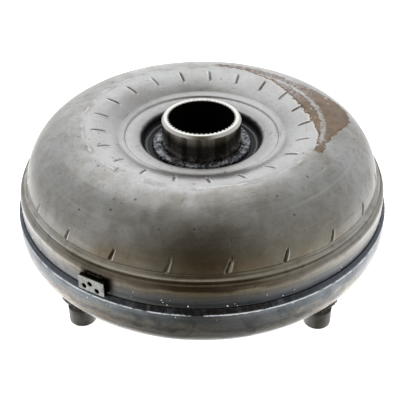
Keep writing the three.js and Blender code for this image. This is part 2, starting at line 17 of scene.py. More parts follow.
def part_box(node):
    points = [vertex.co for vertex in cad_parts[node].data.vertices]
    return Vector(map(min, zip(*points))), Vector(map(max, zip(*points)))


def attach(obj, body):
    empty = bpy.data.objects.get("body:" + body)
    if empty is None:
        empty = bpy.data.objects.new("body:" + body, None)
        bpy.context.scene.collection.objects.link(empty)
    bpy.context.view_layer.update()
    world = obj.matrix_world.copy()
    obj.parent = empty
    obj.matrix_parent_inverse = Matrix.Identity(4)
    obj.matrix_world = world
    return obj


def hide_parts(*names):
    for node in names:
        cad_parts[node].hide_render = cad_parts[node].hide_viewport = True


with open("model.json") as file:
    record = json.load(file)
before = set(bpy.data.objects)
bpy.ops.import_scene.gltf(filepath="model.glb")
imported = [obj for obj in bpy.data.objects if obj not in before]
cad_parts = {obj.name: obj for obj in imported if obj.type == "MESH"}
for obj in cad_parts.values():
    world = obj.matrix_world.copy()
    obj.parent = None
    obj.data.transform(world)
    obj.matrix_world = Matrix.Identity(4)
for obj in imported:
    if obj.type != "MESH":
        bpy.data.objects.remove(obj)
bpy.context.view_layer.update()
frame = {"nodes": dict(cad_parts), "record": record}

MM = 0.001
TURN = 2 * math.pi

# --- Sizes, from the frame where it states them ---


def low(node):
    """A CAD node's lowest corner, in millimetres."""
    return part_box(node)[0] / MM


def high(node):
    """A CAD node's highest corner, in millimetres."""
    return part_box(node)[1] / MM


def middle(node):
    """The middle of a CAD node's box, in millimetres."""
    return (low(node) + high(node)) / 2


RIM_R = high("front_cover").x
LIP_Z = high("front_cover").z
COVER_LOW_Z = low("front_cover").z
SKIRT_R = high("impeller_shell").x
SKIRT_END_Z = low("impeller_shell").z
CREST_Z = high("impeller_shell").z
SHELL_R = 48
TORUS_R = 98
TORUS_Z = CREST_Z - SHELL_R
SHELL_T = 3.5
SHELF_Z = TORUS_Z + 1.4
DISH_EDGE_R = 63.4
DISH_EDGE_Z = CREST_Z - 11.7
HUB_TOP_Z = high("pump_hub").z
HUB_LOW_Z = low("pump_hub").z
HUB_FLANGE_R = high("pump_hub").x
HUB_R = 32.6
HUB_BORE_R = 26.9
HUB_ROOT_R = 27.8
HUB_TEETH = 48
NECK_R = 38
NECK_Z = high("hub_weld").z - 3
COVER_T = 5
COVER_SHOULDER = 34
COVER_DISH_Z = COVER_LOW_Z + 12
COVER_DISH_R = 88
COVER_BORE_R = 11.9
PILOT_SPIGOT_R = 11.7
BOSSES = [f"mounting_boss_{i}" for i in range(1, 5)]
BOSS_R = (high(BOSSES[0]).x - low(BOSSES[0]).x) / 2
VANE_TABS = 21
TAB_PHASE = 2.9


def azimuth(degrees):
    """The angle from +X, in radians, of an azimuth in degrees."""
    return math.radians(degrees - 90)


# --- Mesh helpers ---


def arc(r, z, radius, start, end, steps):
    """Points of an arc in the (r, z) plane, angles in degrees."""
    points = []
    for i in range(steps + 1):
        a = math.radians(start + (end - start) * i / steps)
        points.append((r + radius * math.cos(a), z + radius * math.sin(a)))
    return points


def rounded(corners, steps=5):
    """A closed (r, z) outline from (r, z, radius) corners, each rounded to its radius."""
    points = []
    count = len(corners)
    for i, (r, z, radius) in enumerate(corners):
        here = Vector((r, z))
        if radius <= 0:
            points.append((r, z))
            continue
        before = Vector(corners[i - 1][:2]) - here
        after = Vector(corners[(i + 1) % count][:2]) - here
        half = before.angle(after) / 2
        reach = min(radius / math.tan(half), 0.49 * before.length, 0.49 * after.length)
        size = reach * math.tan(half)
        centre = here + (before.normalized() + after.normalized()).normalized() * size / math.sin(half)
        first = here + before.normalized() * reach - centre
        last = here + after.normalized() * reach - centre
        sweep = first.angle_signed(last)
        for k in range(steps + 1):
            turned = first.copy()
            turned.rotate(Matrix.Rotation(-sweep * k / steps, 2))
            points.append(tuple(centre + turned))
    return points


def dense(outline, spacing):
    """The same closed outline with points added so that no step is longer than spacing."""
    points = []
    for i, (r, z) in enumerate(outline):
        nr, nz = outline[(i + 1) % len(outline)]
        steps = max(1, math.ceil(math.hypot(nr - r, nz - z) / spacing))
        for k in range(steps):
            points.append((r + (nr - r) * k / steps, z + (nz - z) * k / steps))
    return points


def even_angles(count):
    return [TURN * i / count for i in range(count)]


def finish_mesh(name, bm, sharp=35):
    """Makes an object of a bmesh given in millimetres: outward normals, smooth, sharp edges kept."""
    bmesh.ops.recalc_face_normals(bm, faces=bm.faces)
    bmesh.ops.scale(bm, vec=(MM, MM, MM), verts=bm.verts)
    mesh = bpy.data.meshes.new(name)
    bm.to_mesh(mesh)
    bm.free()
    mesh.shade_smooth()
    mesh.set_sharp_from_angle(angle=math.radians(sharp))
    piece = bpy.data.objects.new(name, mesh)
    bpy.context.scene.collection.objects.link(piece)
    return piece


def lathe(name, outline, angles, relief=None, centre=(0, 0), sharp=35):
    """
    Turns a closed (r, z) outline about a vertical axis. relief(r, z, angle) gives how far a point
    moves outwards along the outline's normal. Points with r = 0 close on the axis.
    """
    bm = bmesh.new()
    count = len(outline)
    normals = []
    for i in range(count):
        before = Vector(outline[i - 1])
        after = Vector(outline[(i + 1) % count])
        along = (after - before).normalized()
        normals.append(Vector((along.y, -along.x)))
    area = sum(
        outline[i - 1][0] * outline[i][1] - outline[i][0] * outline[i - 1][1] for i in range(count)
    )
    side = 1 if area > 0 else -1
    columns = []
    poles = {}
    for angle in angles:
        column = []
        for i, (r, z) in enumerate(outline):
            if r < 1e-6:
                if i not in poles:
                    poles[i] = bm.verts.new((centre[0], centre[1], z))
                column.append(poles[i])
                continue
            move = relief(r, z, angle) * side if relief else 0
            rr = r + normals[i].x * move
            zz = z + normals[i].y * move
            place = (centre[0] + rr * math.cos(angle), centre[1] + rr * math.sin(angle), zz)
            column.append(bm.verts.new(place))
        columns.append(column)
    for a in range(len(angles)):
        this = columns[a]
        following = columns[(a + 1) % len(angles)]
        for i in range(count):
            k = (i + 1) % count
            corners = []
            for vertex in (this[i], this[k], following[k], following[i]):
                if vertex not in corners:
                    corners.append(vertex)
            if len(corners) > 2:
                bm.faces.new(corners)
    return finish_mesh(name, bm, sharp)


def tube(name, path, section, sharp=60):
    """Sweeps section(i) -> list of points round a closed path of `path` steps."""
    bm = bmesh.new()
    rings = [[bm.verts.new(p) for p in section(i)] for i in range(path)]
    for i in range(path):
        this = rings[i]
        following = rings[(i + 1) % path]
        for k in range(len(this)):
            m = (k + 1) % len(this)
            bm.faces.new((this[k], this[m], following[m], following[k]))
    return finish_mesh(name, bm, sharp)


def place(piece, body, slot, material, *nodes):
    """Hands a finished piece to the frame."""
    piece.data.materials.clear()
    piece.data.materials.append(material)
    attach(piece, body)
    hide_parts(*nodes)
    return piece


def smoothstep(low_edge, high_edge, value):
    t = min(1, max(0, (value - low_edge) / (high_edge - low_edge)))
    return t * t * (3 - 2 * t)


# --- Node helpers ---


class Nodes:
    """A node tree, with short calls for the nodes that the finishes share."""

    def __init__(self, tree):
        self.tree = tree
        self.place = self.add("ShaderNodeTexCoord").outputs["Object"]

    def add(self, kind, inputs=None, **settings):
        """A new node. inputs holds outputs or plain values by the name of the socket."""
        node = self.tree.nodes.new(kind)
        for key, value in settings.items():
            setattr(node, key, value)
        for key, value in (inputs or {}).items():
            self.link(value, node.inputs[key])
        return node

    def link(self, source, socket):
        """Connects an output, or sets a plain value. A colour needs no alpha."""
        if isinstance(source, bpy.types.NodeSocket):
            self.tree.links.new(source, socket)
        elif socket.type == "RGBA":
            socket.default_value = (*source, 1.0)
        else:
            socket.default_value = source

    def feed(self, node, *values):
        """Sets a node's first inputs, and gives the node back."""
        for value, socket in zip(values, node.inputs):
            self.link(value, socket)
        return node

    def math(self, operation, *values, clamp=False):
        node = self.add("ShaderNodeMath", operation=operation, use_clamp=clamp)
        return self.feed(node, *values).outputs[0]

    def times(self, a, b):
        return self.math("MULTIPLY", a, b)

    def plus(self, a, b):
        return self.math("ADD", a, b)

    def minus(self, a, b):
        return self.math("SUBTRACT", a, b)

    def over(self, a, b):
        return self.math("DIVIDE", a, b)

    def most(self, a, b):
        return self.math("MAXIMUM", a, b)

    def size_of(self, a):
        return self.math("ABSOLUTE", a)

    def sway(self, noise_value, reach):
        """Noise turned into a shift to either side, `reach` from end to end."""
        return self.times(self.minus(noise_value, 0.5), reach)

    def near(self, value, target, start, end):
        """The step of how far a value is from a target: 1 close by where end is the smaller."""
        return self.step(self.size_of(self.minus(value, target)), start, end)

    def blend(self, a, b, share, start, end):
        """Mixes two 0..1 values, share of the first, and maps the result to start..end."""
        return self.spread(self.plus(self.times(a, share), self.times(b, 1 - share)), start, end)

    def vector(self, x, y, z):
        return self.feed(self.add("ShaderNodeCombineXYZ"), x, y, z).outputs[0]

    def parts(self, vector):
        return self.feed(self.add("ShaderNodeSeparateXYZ"), vector).outputs

    def vector_math(self, operation, *values):
        return self.feed(self.add("ShaderNodeVectorMath", operation=operation), *values).outputs

    def scaled(self, vector, factors):
        return self.vector_math("MULTIPLY", vector, factors)[0]

    def noise(self, size, detail=3.0, rough=0.55, vector=None, distortion=0.0):
        """Noise whose features are about `size` millimetres across."""
        inputs = {
            "Vector": self.place if vector is None else vector,
            "Scale": 1 / (size * MM),
            "Detail": detail,
            "Roughness": rough,
            "Distortion": distortion,
        }
        return self.add("ShaderNodeTexNoise", inputs).outputs["Fac"]

    def step(self, value, start, end):
        """0 below start and 1 above end, smooth between. start may be the larger."""
        inputs = {"Value": value, "From Min": start, "From Max": end}
        return self.add("ShaderNodeMapRange", inputs, interpolation_type="SMOOTHSTEP").outputs["Result"]

    def spread(self, value, start, end):
        """Maps 0..1 to start..end."""
        inputs = {"Value": value, "To Min": start, "To Max": end}
        return self.add("ShaderNodeMapRange", inputs).outputs["Result"]

    def mix(self, factor, a, b):
        """Colour a where factor is 0, and b where it is 1."""
        node = self.add("ShaderNodeMix", data_type="RGBA")
        sockets = [socket for socket in node.inputs if socket.enabled]
        for value, socket in zip((factor, a, b), sockets):
            self.link(value, socket)
        return [socket for socket in node.outputs if socket.enabled][0]

    def lay(self, colour, tone, mask, amount=None):
        """Lays a tone over a colour by a mask, at most by amount."""
        return self.mix(mask if amount is None else self.times(mask, amount), colour, tone)

    def ramp(self, value, stops):
        """Colour by value. Stops are (position, (r, g, b))."""
        node = self.add("ShaderNodeValToRGB")
        elements = node.color_ramp.elements
        while len(elements) < len(stops):
            elements.new(0.5)
        for element, (position, colour) in zip(elements, stops):
            element.position = position
            element.color = (*colour, 1.0)
        self.link(value, node.inputs[0])
        return node.outputs["Color"]

    def scratches(self, size, share, turn):
        """Sparse short hairlines, all leaning one way."""
        inputs = {"Vector": self.place, "Rotation": turn}
        rotate = self.add("ShaderNodeVectorRotate", inputs, rotation_type="EULER_XYZ")
        long = self.scaled(rotate.outputs[0], (0.06, 1.0, 1.0))
        return self.step(self.noise(size, 1.0, 0.4, long), 1 - share, 1 - share + 0.02)

    def specks(self, size, share):
        """Scattered round spots: 1 on a spot."""
        cells = self.add("ShaderNodeTexVoronoi", {"Vector": self.place, "Scale": 1 / (size * MM)})
        near = self.step(cells.outputs["Distance"], 0.22, 0.12)
        chosen = self.parts(cells.outputs["Color"])[0]
        return self.times(near, self.step(chosen, 1 - share, 1 - share + 0.02))


class Shader(Nodes):
    """A piece's finish, with its place in the part at hand in metres."""

    def __init__(self, name):
        self.material = bpy.data.materials.new(name)
        self.material.use_nodes = True
        super().__init__(self.material.node_tree)
        self.bsdf = self.tree.nodes["Principled BSDF"]
        self.x, self.y, self.z = self.parts(self.place)
        self.r = self.math("SQRT", self.plus(self.times(self.x, self.x), self.times(self.y, self.y)))
        safe_r = self.most(self.r, 1e-5)
        self.turn = self.math("ARCTAN2", self.x, self.times(self.y, -1.0))  # radians from -Y towards +X
        self.cos = self.over(self.x, safe_r)
        self.sin = self.over(self.y, safe_r)
        self.cos_front = self.times(self.sin, -1.0)

    def turned(self, size, length, detail=2.0):
        """Noise drawn out round the axis, as turning and wiping leave it."""
        around = 0.1 / (length * MM)
        fine = 1 / (size * MM)
        along = self.vector(
            self.times(self.cos, around), self.times(self.sin, around), self.times(self.r, fine)
        )
        inputs = {"Vector": along, "W": self.times(self.z, fine), "Scale": 1, "Detail": detail}
        return self.add("ShaderNodeTexNoise", inputs, noise_dimensions="4D").outputs["Fac"]

    def surface(self, colour, roughness, metallic=1.0, bumps=()):
        """Connects the finish. bumps are (height, strength, distance in mm), stacked in order."""
        wanted = {"Base Color": colour, "Roughness": roughness, "Metallic": metallic}
        for height, strength, distance in bumps:
            inputs = {"Height": height, "Strength": strength, "Distance": distance * MM}
            if "Normal" in wanted:
                inputs["Normal"] = wanted["Normal"]
            wanted["Normal"] = self.add("ShaderNodeBump", inputs).outputs["Normal"]
        for key, value in wanted.items():
            self.link(value, self.bsdf.inputs[key])
        return self.material


# --- Finishes ---

CLEAN_STEEL = (0.635, 0.64, 0.65)
DULL_STEEL = (0.47, 0.47, 0.465)
OILY_STEEL = (0.33, 0.295, 0.215)
STRAW = (0.56, 0.49, 0.35)
BROWN = (0.17, 0.115, 0.065)
SCALE_BLACK = (0.018, 0.019, 0.023)

# The old primer is a crescent on the crest, which swells inwards and, over a shorter way, outwards.
PATCH_CREST = 100  # mm from the axis, where the crescent thins out
PATCH_FROM, PATCH_TO = 60, 175  # degrees of azimuth
PATCH_BAND = 5  # mm wide away from the swellings
SWELL_IN = (110, 60, 13)  # azimuth of its middle, degrees to either side, mm at the middle
SWELL_OUT = (100, 30, 20)
GROOVE = "tab_groove"
CREST_LINE_R = 97.5  # mm, a light worn line
TROUGH_RING_R = 46.6  # mm, a paler ring in the trough's painted shade
HALO_Z = 72.2  # mm, the middle of the darkened steel round the weight
HALO_SHIFT = 2  # mm along from the weight's middle
HALO_HALF = (11.5, 5.5)  # mm from the middle, along and up, that are wholly darkened
HEAT_SPAN = 30  # mm of skirt above the lip that the weld's heat tints


def shell_finish():
    """The impeller shell: worn bare steel under an oily film, heat tinted towards the rim weld."""
    s = Shader("shell_steel_worn")
    cloud = s.noise(70, 4, 0.6)
    patch = s.noise(22, 4, 0.6, distortion=0.6)
    blotch = s.noise(7, 4, 0.65, distortion=0.3)
    grain = s.noise(1.8, 3, 0.65)
    wipe = s.turned(2.2, 90)
    inner = s.step(s.plus(s.r, s.times(patch, 0.010)), 0.107, 0.098)
    # Oily steel towards the foot, laid heavier on the front, where it is partly painted reflection of
    # the dark studio.
    foot = s.step(s.plus(s.z, s.times(cloud, 0.03)), 0.140, 0.100)
    foot = s.times(foot, s.spread(s.step(s.cos_front, 0.3, 0.95), 0.4, 1.0))
    colour = s.mix(s.step(cloud, 0.35, 0.68), DULL_STEEL, CLEAN_STEEL)
    colour = s.lay(colour, OILY_STEEL, foot, 0.75)
    colour = s.lay(colour, CLEAN_STEEL, inner, 0.8)
    outer = s.minus(1.0, s.times(inner, 0.65))
    dirt = s.times(s.step(patch, 0.38, 0.70), 0.4)
    colour = s.lay(colour, OILY_STEEL, dirt, outer)
    smear = s.times(s.step(blotch, 0.42, 0.74), 0.26)
    colour = s.lay(colour, (0.22, 0.21, 0.18), smear, outer)
    colour = s.lay(colour, (0.62, 0.62, 0.60), s.step(blotch, 0.52, 0.26), 0.18)
    colour = s.lay(colour, (0.17, 0.165, 0.15), s.step(grain, 0.5, 0.72), 0.28)
    colour = s.lay(colour, (0.70, 0.70, 0.68), s.step(wipe, 0.54, 0.75), 0.3)
    streak = s.times(s.step(s.turned(1.1, 40), 0.60, 0.74), s.step(patch, 0.42, 0.56))
    colour = s.lay(colour, (0.13, 0.12, 0.10), streak, 0.45)
    lilac = s.times(s.step(s.noise(28, 3), 0.52, 0.66), inner)
    colour = s.lay(colour, (0.50, 0.45, 0.46), lilac, 0.3)

    # Painted reflection: low on the shell's front a dark bronze tone stands in for the dark brown
    # studio it faces, with a greyer haze further out and darker spots in the bronze.
    bronze = s.step(s.plus(s.cos_front, s.times(patch, 0.25)), 0.85, 1.12)
    low_down = s.step(s.plus(s.z, s.times(blotch, 0.012)), 0.118, 0.098)
    bronze = s.times(s.times(bronze, low_down), s.step(cloud, 0.30, 0.60))
    colour = s.lay(colour, (0.32, 0.205, 0.10), bronze, 0.85)
    haze_reflection = s.times(s.step(s.cos_front, 0.80, 0.98), s.step(s.r, 0.099, 0.110))
    haze_reflection = s.times(haze_reflection, s.spread(s.step(patch, 0.35, 0.6), 0.5, 1.0))
    colour = s.lay(colour, (0.24, 0.225, 0.19), haze_reflection, 0.5)
    reflection_spots = s.times(bronze, s.step(s.noise(14, 4, 0.65, distortion=0.8), 0.46, 0.66))
    colour = s.lay(colour, (0.15, 0.115, 0.07), reflection_spots, 0.5)

    # The crest has worn to a light, broken line, where the dish side begins.
    wobble = s.sway(patch, 0.006)
    off = s.size_of(s.plus(s.minus(s.r, CREST_LINE_R * MM), wobble))
    line = s.times(s.step(off, 0.0013, 0.0003), s.step(s.noise(13, 2), 0.45, 0.62))
    upper = s.step(s.z, 0.112, 0.116)
    line = s.times(line, upper)
    colour = s.lay(colour, (0.80, 0.80, 0.78), line, 0.55)
    shade = s.times(s.step(off, 0.0042, 0.0016), s.step(s.noise(17, 3), 0.48, 0.66))
    shade = s.times(s.times(shade, upper), s.minus(1.0, line))
    colour = s.lay(colour, (0.22, 0.215, 0.19), shade, 0.35)

    # Painted shade: the trough round the hub is painted near black, with paler ring lines in it, and a
    # softer painted shade spreads a little way out from it.
    depth_r = s.plus(s.r, s.times(s.noise(5, 3), 0.0016))
    colour = s.lay(colour, (0.16, 0.16, 0.155), s.step(depth_r, 0.062, 0.0505), 0.4)
    trough_shade = s.step(depth_r, 0.0530, 0.0502)
    rings = s.near(depth_r, TROUGH_RING_R * MM, 0.0011, 0.0003)
    trough_shade_tone = s.mix(s.times(rings, 0.8), (0.012, 0.012, 0.014), (0.13, 0.135, 0.15))
    colour = s.lay(colour, trough_shade_tone, trough_shade, 0.97)

    dark = s.most(s.scratches(2.2, 0.27, (0.3, 0.2, 0.6)), s.scratches(2.6, 0.27, (0.1, 0.5, 2.1)))
    dark = s.times(dark, s.step(s.noise(45, 2), 0.5, 0.62))
    dark = s.most(dark, s.specks(6, 0.06))
    dark = s.most(dark, s.specks(2.6, 0.05))
    colour = s.lay(colour, (0.06, 0.055, 0.05), dark, 0.6)

    heated, band = heat_bands(s, cloud, blotch, wipe)
    colour = s.lay(colour, heated, s.step(band, 1.08, 0.86))
    halo = weight_halo(s, blotch)
    colour = s.lay(colour, (0.06, 0.045, 0.03), halo, 0.85)

    # Painted shade in the tab dents, and a painted highlight on their raised lips.
    groove = s.add("ShaderNodeAttribute", attribute_name=GROOVE).outputs["Fac"]
    colour = s.lay(colour, (0.06, 0.058, 0.054), s.step(groove, 0.2, 0.9), 0.75)
    colour = s.lay(colour, (0.92, 0.91, 0.88), s.step(groove, -0.05, -0.22), 0.65)

    # A patch of old primer and rust clings to the crown, ragged where it has flaked.
    film, edge, flake = primer_patch(s, blotch)
    colour = s.lay(colour, primer_colour(s, grain), film, 0.94)
    colour = s.lay(colour, (0.12, 0.065, 0.03), edge, 0.85)
    colour = s.lay(colour, (0.74, 0.69, 0.60), flake, 0.8)

    rough = s.blend(cloud, wipe, 0.5, 0.27, 0.42)
    rough = s.math("ADD", rough, s.times(film, 0.26), clamp=True)
    metallic = s.spread(film, 1.0, 0.55)
    bumps = [
        (s.noise(30, 2), 0.25, 2.0),
        (blotch, 0.3, 0.35),
        (grain, 0.4, 0.12),
        (wipe, 0.2, 0.06),
        (dark, 0.6, -0.15),
        (film, 0.5, 0.2),
    ]
    return s.surface(colour, rough, metallic, bumps)


def heat_bands(s, cloud, blotch, wipe):
    """
    The skirt as the closing weld's heat has tinted it, and how far up those bands a place is. The
    tinted bands show deep in front; towards the sides a paler copy with painted highlights takes over.
    """
    height = s.plus(s.z, s.sway(s.noise(26, 3), 0.006))
    height = s.plus(height, s.sway(wipe, 0.002))
    band = s.over(s.minus(height, LIP_Z * MM), HEAT_SPAN * MM)
    tint = s.ramp(
        band,
        [
            (0.0, SCALE_BLACK),
            (0.12, (0.05, 0.055, 0.068)),
            (0.24, (0.19, 0.215, 0.25)),
            (0.38, (0.36, 0.36, 0.37)),
            (0.49, (0.40, 0.36, 0.30)),
            (0.57, STRAW),
            (0.64, BROWN),
            (0.72, BROWN),
            (0.80, (0.34, 0.29, 0.20)),
            (0.88, (0.42, 0.37, 0.28)),
            (1.0, OILY_STEEL),
        ],
    )
    # A paler copy of the bands, lighter and with painted highlights, for the sides.
    lit_pale_bands = s.ramp(
        band,
        [
            (0.0, SCALE_BLACK),
            (0.10, (0.08, 0.085, 0.10)),
            (0.20, (0.16, 0.17, 0.19)),
            (0.34, (0.36, 0.36, 0.36)),
            (0.50, (0.47, 0.455, 0.42)),
            (0.62, (0.66, 0.65, 0.62)),
            (0.74, (0.42, 0.40, 0.36)),
            (0.86, (0.64, 0.63, 0.60)),
            (1.0, (0.50, 0.495, 0.47)),
        ],
    )
    # Painted light: the deep tint shows in front and in a few patches, the lit pale copy elsewhere.
    front = s.step(s.plus(s.cos_front, s.times(cloud, 0.6)), 0.9, 1.35)
    deep_tint_mask = s.most(front, s.times(s.step(s.noise(50, 2), 0.5, 0.68), 0.35))
    heated = s.mix(deep_tint_mask, lit_pale_bands, tint)
    heated = s.lay(heated, (0.66, 0.65, 0.62), s.step(wipe, 0.46, 0.7), 0.4)
    heated = s.lay(heated, (0.14, 0.13, 0.12), s.step(s.turned(1.0, 30), 0.52, 0.68), 0.5)
    heated = s.lay(heated, (0.17, 0.15, 0.13), s.step(blotch, 0.5, 0.68), 0.35)
    return heated, band


def primer_colour(s, grain):
    """Brown primer with rust in it, paler and pinker round to the back."""
    mottle = s.mix(s.step(s.noise(9, 4, 0.7), 0.4, 0.64), (0.215, 0.155, 0.105), (0.15, 0.108, 0.072))
    orange = s.step(s.noise(16, 3), 0.5, 0.66)
    mottle = s.lay(mottle, (0.29, 0.17, 0.105), orange, 0.4)
    pink = s.step(s.turn, math.radians(104), math.radians(126))
    speckle = s.mix(s.step(s.noise(2.6, 4, 0.75), 0.42, 0.60), (0.17, 0.135, 0.12), (0.47, 0.43, 0.42))
    mottle = s.lay(mottle, speckle, pink, 0.9)
    return s.lay(mottle, (0.14, 0.09, 0.055), s.step(grain, 0.5, 0.7), 0.4)


def weight_axes(s):
    """Metres along the balance weight's length, and outwards square to its face."""
    angle = azimuth(WEIGHT_AZIMUTH)
    along = s.minus(s.times(s.y, math.cos(angle)), s.times(s.x, math.sin(angle)))
    out = s.plus(s.times(s.x, math.cos(angle)), s.times(s.y, math.sin(angle)))
    return along, out


def weight_halo(s, broken):
    """Darkened steel round the balance weight."""
    along, out = weight_axes(s)
    up = s.minus(s.z, HALO_Z * MM)
    wide = s.most(s.minus(s.size_of(s.minus(along, HALO_SHIFT * MM)), HALO_HALF[0] * MM), 0.0)
    tall = s.most(s.minus(s.size_of(up), HALO_HALF[1] * MM), 0.0)
    far = s.math("SQRT", s.plus(s.times(wide, wide), s.times(tall, tall)))
    far = s.plus(far, s.sway(broken, 0.004))
    return s.times(s.step(far, 0.0058, 0.0004), s.step(out, 0.10, 0.12))


def primer_patch(s, broken):
    """
    The primer's film, its dark edge and the pale flakes beside it. It lies along the crest, from
    the right side round to the back, in an inner strip and an outer lobe with bare steel between.
    """
    fray = s.sway(s.noise(6, 4, 0.7), 0.009)
    fine = s.sway(s.noise(1.8, 3, 0.7), 0.004)
    sweep = s.over(s.plus(s.turn, s.times(fray, 6.0)), math.pi)
    r = s.plus(s.plus(s.r, fray), fine)
    degrees = s.times(sweep, 180.0)

    def swell(middle_at, reach, size):
        return s.times(s.near(degrees, middle_at, reach, 0), size * MM)

    inner = s.minus(PATCH_CREST * MM, swell(*SWELL_IN))
    outer = s.plus((PATCH_CREST + PATCH_BAND) * MM, swell(*SWELL_OUT))
    depth = s.math("MINIMUM", s.minus(r, inner), s.minus(outer, r))
    ends = s.times(s.step(degrees, PATCH_FROM, PATCH_FROM + 2), s.step(degrees, PATCH_TO, PATCH_TO - 6))
    here = s.times(s.step(s.z, 0.100, 0.104), ends)
    streak_at = s.plus(0.0985, s.sway(sweep, -0.006))
    streak = s.near(r, streak_at, 0.0026, 0.0008)
    streak = s.times(streak, s.step(sweep, 0.36, 0.40))
    worn = s.most(s.times(streak, 0.85), s.step(s.noise(7, 3, 0.6), 0.66, 0.70))
    film = s.times(s.step(depth, 0.0, 0.0006), here)
    film = s.times(film, s.minus(1.0, worn))
    edge = s.times(s.near(depth, 0.0006, 0.0011, 0.0002), here)
    inner_side = s.step(s.r, 0.1005, 0.0985)
    edge = s.times(edge, s.most(inner_side, s.step(broken, 0.40, 0.55)))
    flake = s.times(s.step(s.size_of(s.plus(depth, 0.0009)), 0.0012, 0.0004), here)
    flake = s.times(flake, s.step(s.r, 0.0975, 0.0955))
    return film, edge, s.times(flake, s.step(broken, 0.42, 0.52))


def cover_finish():
    """The front cover: drawn steel with a blue-grey oxide, straw and purple tints, worn at the lip,
    where a painted highlight lightens it too.
    """
    s = Shader("cover_steel_tinted")
    cloud = s.noise(55, 4, 0.6)
    blot = s.noise(18, 4, 0.6, distortion=0.8)
    grain = s.noise(1.5, 3, 0.6)
    wipe = s.turned(1.8, 90)
    warp = s.plus(s.times(blot, 0.016), s.times(cloud, 0.018))
    down = s.over(s.minus((LIP_Z + 16) * MM, s.plus(s.z, warp)), 0.046)
    colour = s.ramp(
        down,
        [
            (0.02, (0.28, 0.32, 0.37)),
            (0.14, (0.30, 0.34, 0.38)),
            (0.24, (0.44, 0.42, 0.38)),
            (0.32, (0.32, 0.28, 0.30)),
            (0.40, (0.70, 0.61, 0.45)),
            (0.48, (0.32, 0.25, 0.23)),
            (0.58, (0.62, 0.59, 0.49)),
            (0.70, (0.38, 0.36, 0.35)),
            (0.84, (0.50, 0.51, 0.52)),
            (1.0, (0.50, 0.50, 0.50)),
        ],
    )
    slate = s.times(s.step(down, 0.34, 0.08), s.step(s.cos_front, 0.92, 0.70))
    colour = s.lay(colour, (0.15, 0.17, 0.20), slate, 0.6)
    olive = s.times(s.step(s.noise(24, 4, 0.65, distortion=0.6), 0.46, 0.60), s.step(down, 0.10, 0.22))
    olive = s.times(olive, s.step(s.plus(s.cos_front, s.times(s.cos, 0.4)), 0.45, 0.95))
    colour = s.lay(colour, (0.70, 0.68, 0.56), olive, 0.6)
    fleck = s.times(s.step(s.noise(3.2, 4, 0.7), 0.58, 0.64), s.step(down, 0.12, 0.30))
    colour = s.lay(colour, (0.80, 0.80, 0.76), fleck, 0.5)
    colour = s.lay(colour, (0.60, 0.63, 0.66), s.step(cloud, 0.42, 0.62), 0.4)
    colour = s.lay(colour, (0.85, 0.84, 0.80), s.step(wipe, 0.5, 0.75), 0.5)
    colour = s.lay(colour, (0.22, 0.21, 0.20), s.step(blot, 0.48, 0.66), 0.5)
    colour = s.lay(colour, (0.20, 0.19, 0.17), s.step(grain, 0.5, 0.72), 0.35)
    # The lip's edge is worn and also painted light as a highlight, less metallic so that the white
    # world brightens it.
    lip = s.plus(s.z, s.sway(s.noise(6, 3), 0.0016))
    edge = s.step(lip, (LIP_Z - 1.3) * MM, (LIP_Z - 0.7) * MM)
    edge = s.times(edge, s.step(s.noise(9, 3), 0.34, 0.5))
    colour = s.lay(colour, (0.66, 0.68, 0.70), edge, 0.8)
    dark = s.most(s.scratches(2.4, 0.28, (0.3, 0.1, 0.3)), s.specks(7, 0.06))
    colour = s.lay(colour, (0.12, 0.12, 0.12), dark, 0.5)
    rough = s.blend(cloud, wipe, 0.6, 0.22, 0.40)
    bumps = [(s.noise(26, 2), 0.2, 1.5), (grain, 0.35, 0.1), (wipe, 0.3, 0.08), (dark, 0.4, -0.1)]
    return s.surface(colour, rough, s.spread(edge, 1.0, 0.45), bumps)


def machined_finish(name="machined_steel_turned", tone=(0.66, 0.65, 0.62), film=0.5):
    """Turned and ground steel: fine rings round the axis, a light oil film, small handling marks."""
    s = Shader(name)
    rings = s.turned(0.35, 300, 1)
    cloud = s.noise(14, 4, 0.6)
    colour = s.mix(s.step(cloud, 0.36, 0.7), tone, tuple(0.72 * c for c in tone))
    colour = s.lay(colour, (0.30, 0.255, 0.17), s.step(s.noise(8, 3), 0.5, 0.7), film)
    nicks = s.most(s.scratches(1.2, 0.25, (0.4, 0.3, 0.9)), s.specks(3.5, 0.05))
    colour = s.lay(colour, (0.07, 0.065, 0.06), nicks, 0.5)
    rough = s.blend(cloud, rings, 0.5, 0.14, 0.34)
    bumps = [(rings, 0.35, 0.05), (nicks, 0.5, -0.1), (s.noise(0.8, 2), 0.15, 0.04)]
    return s.surface(colour, rough, 1.0, bumps)


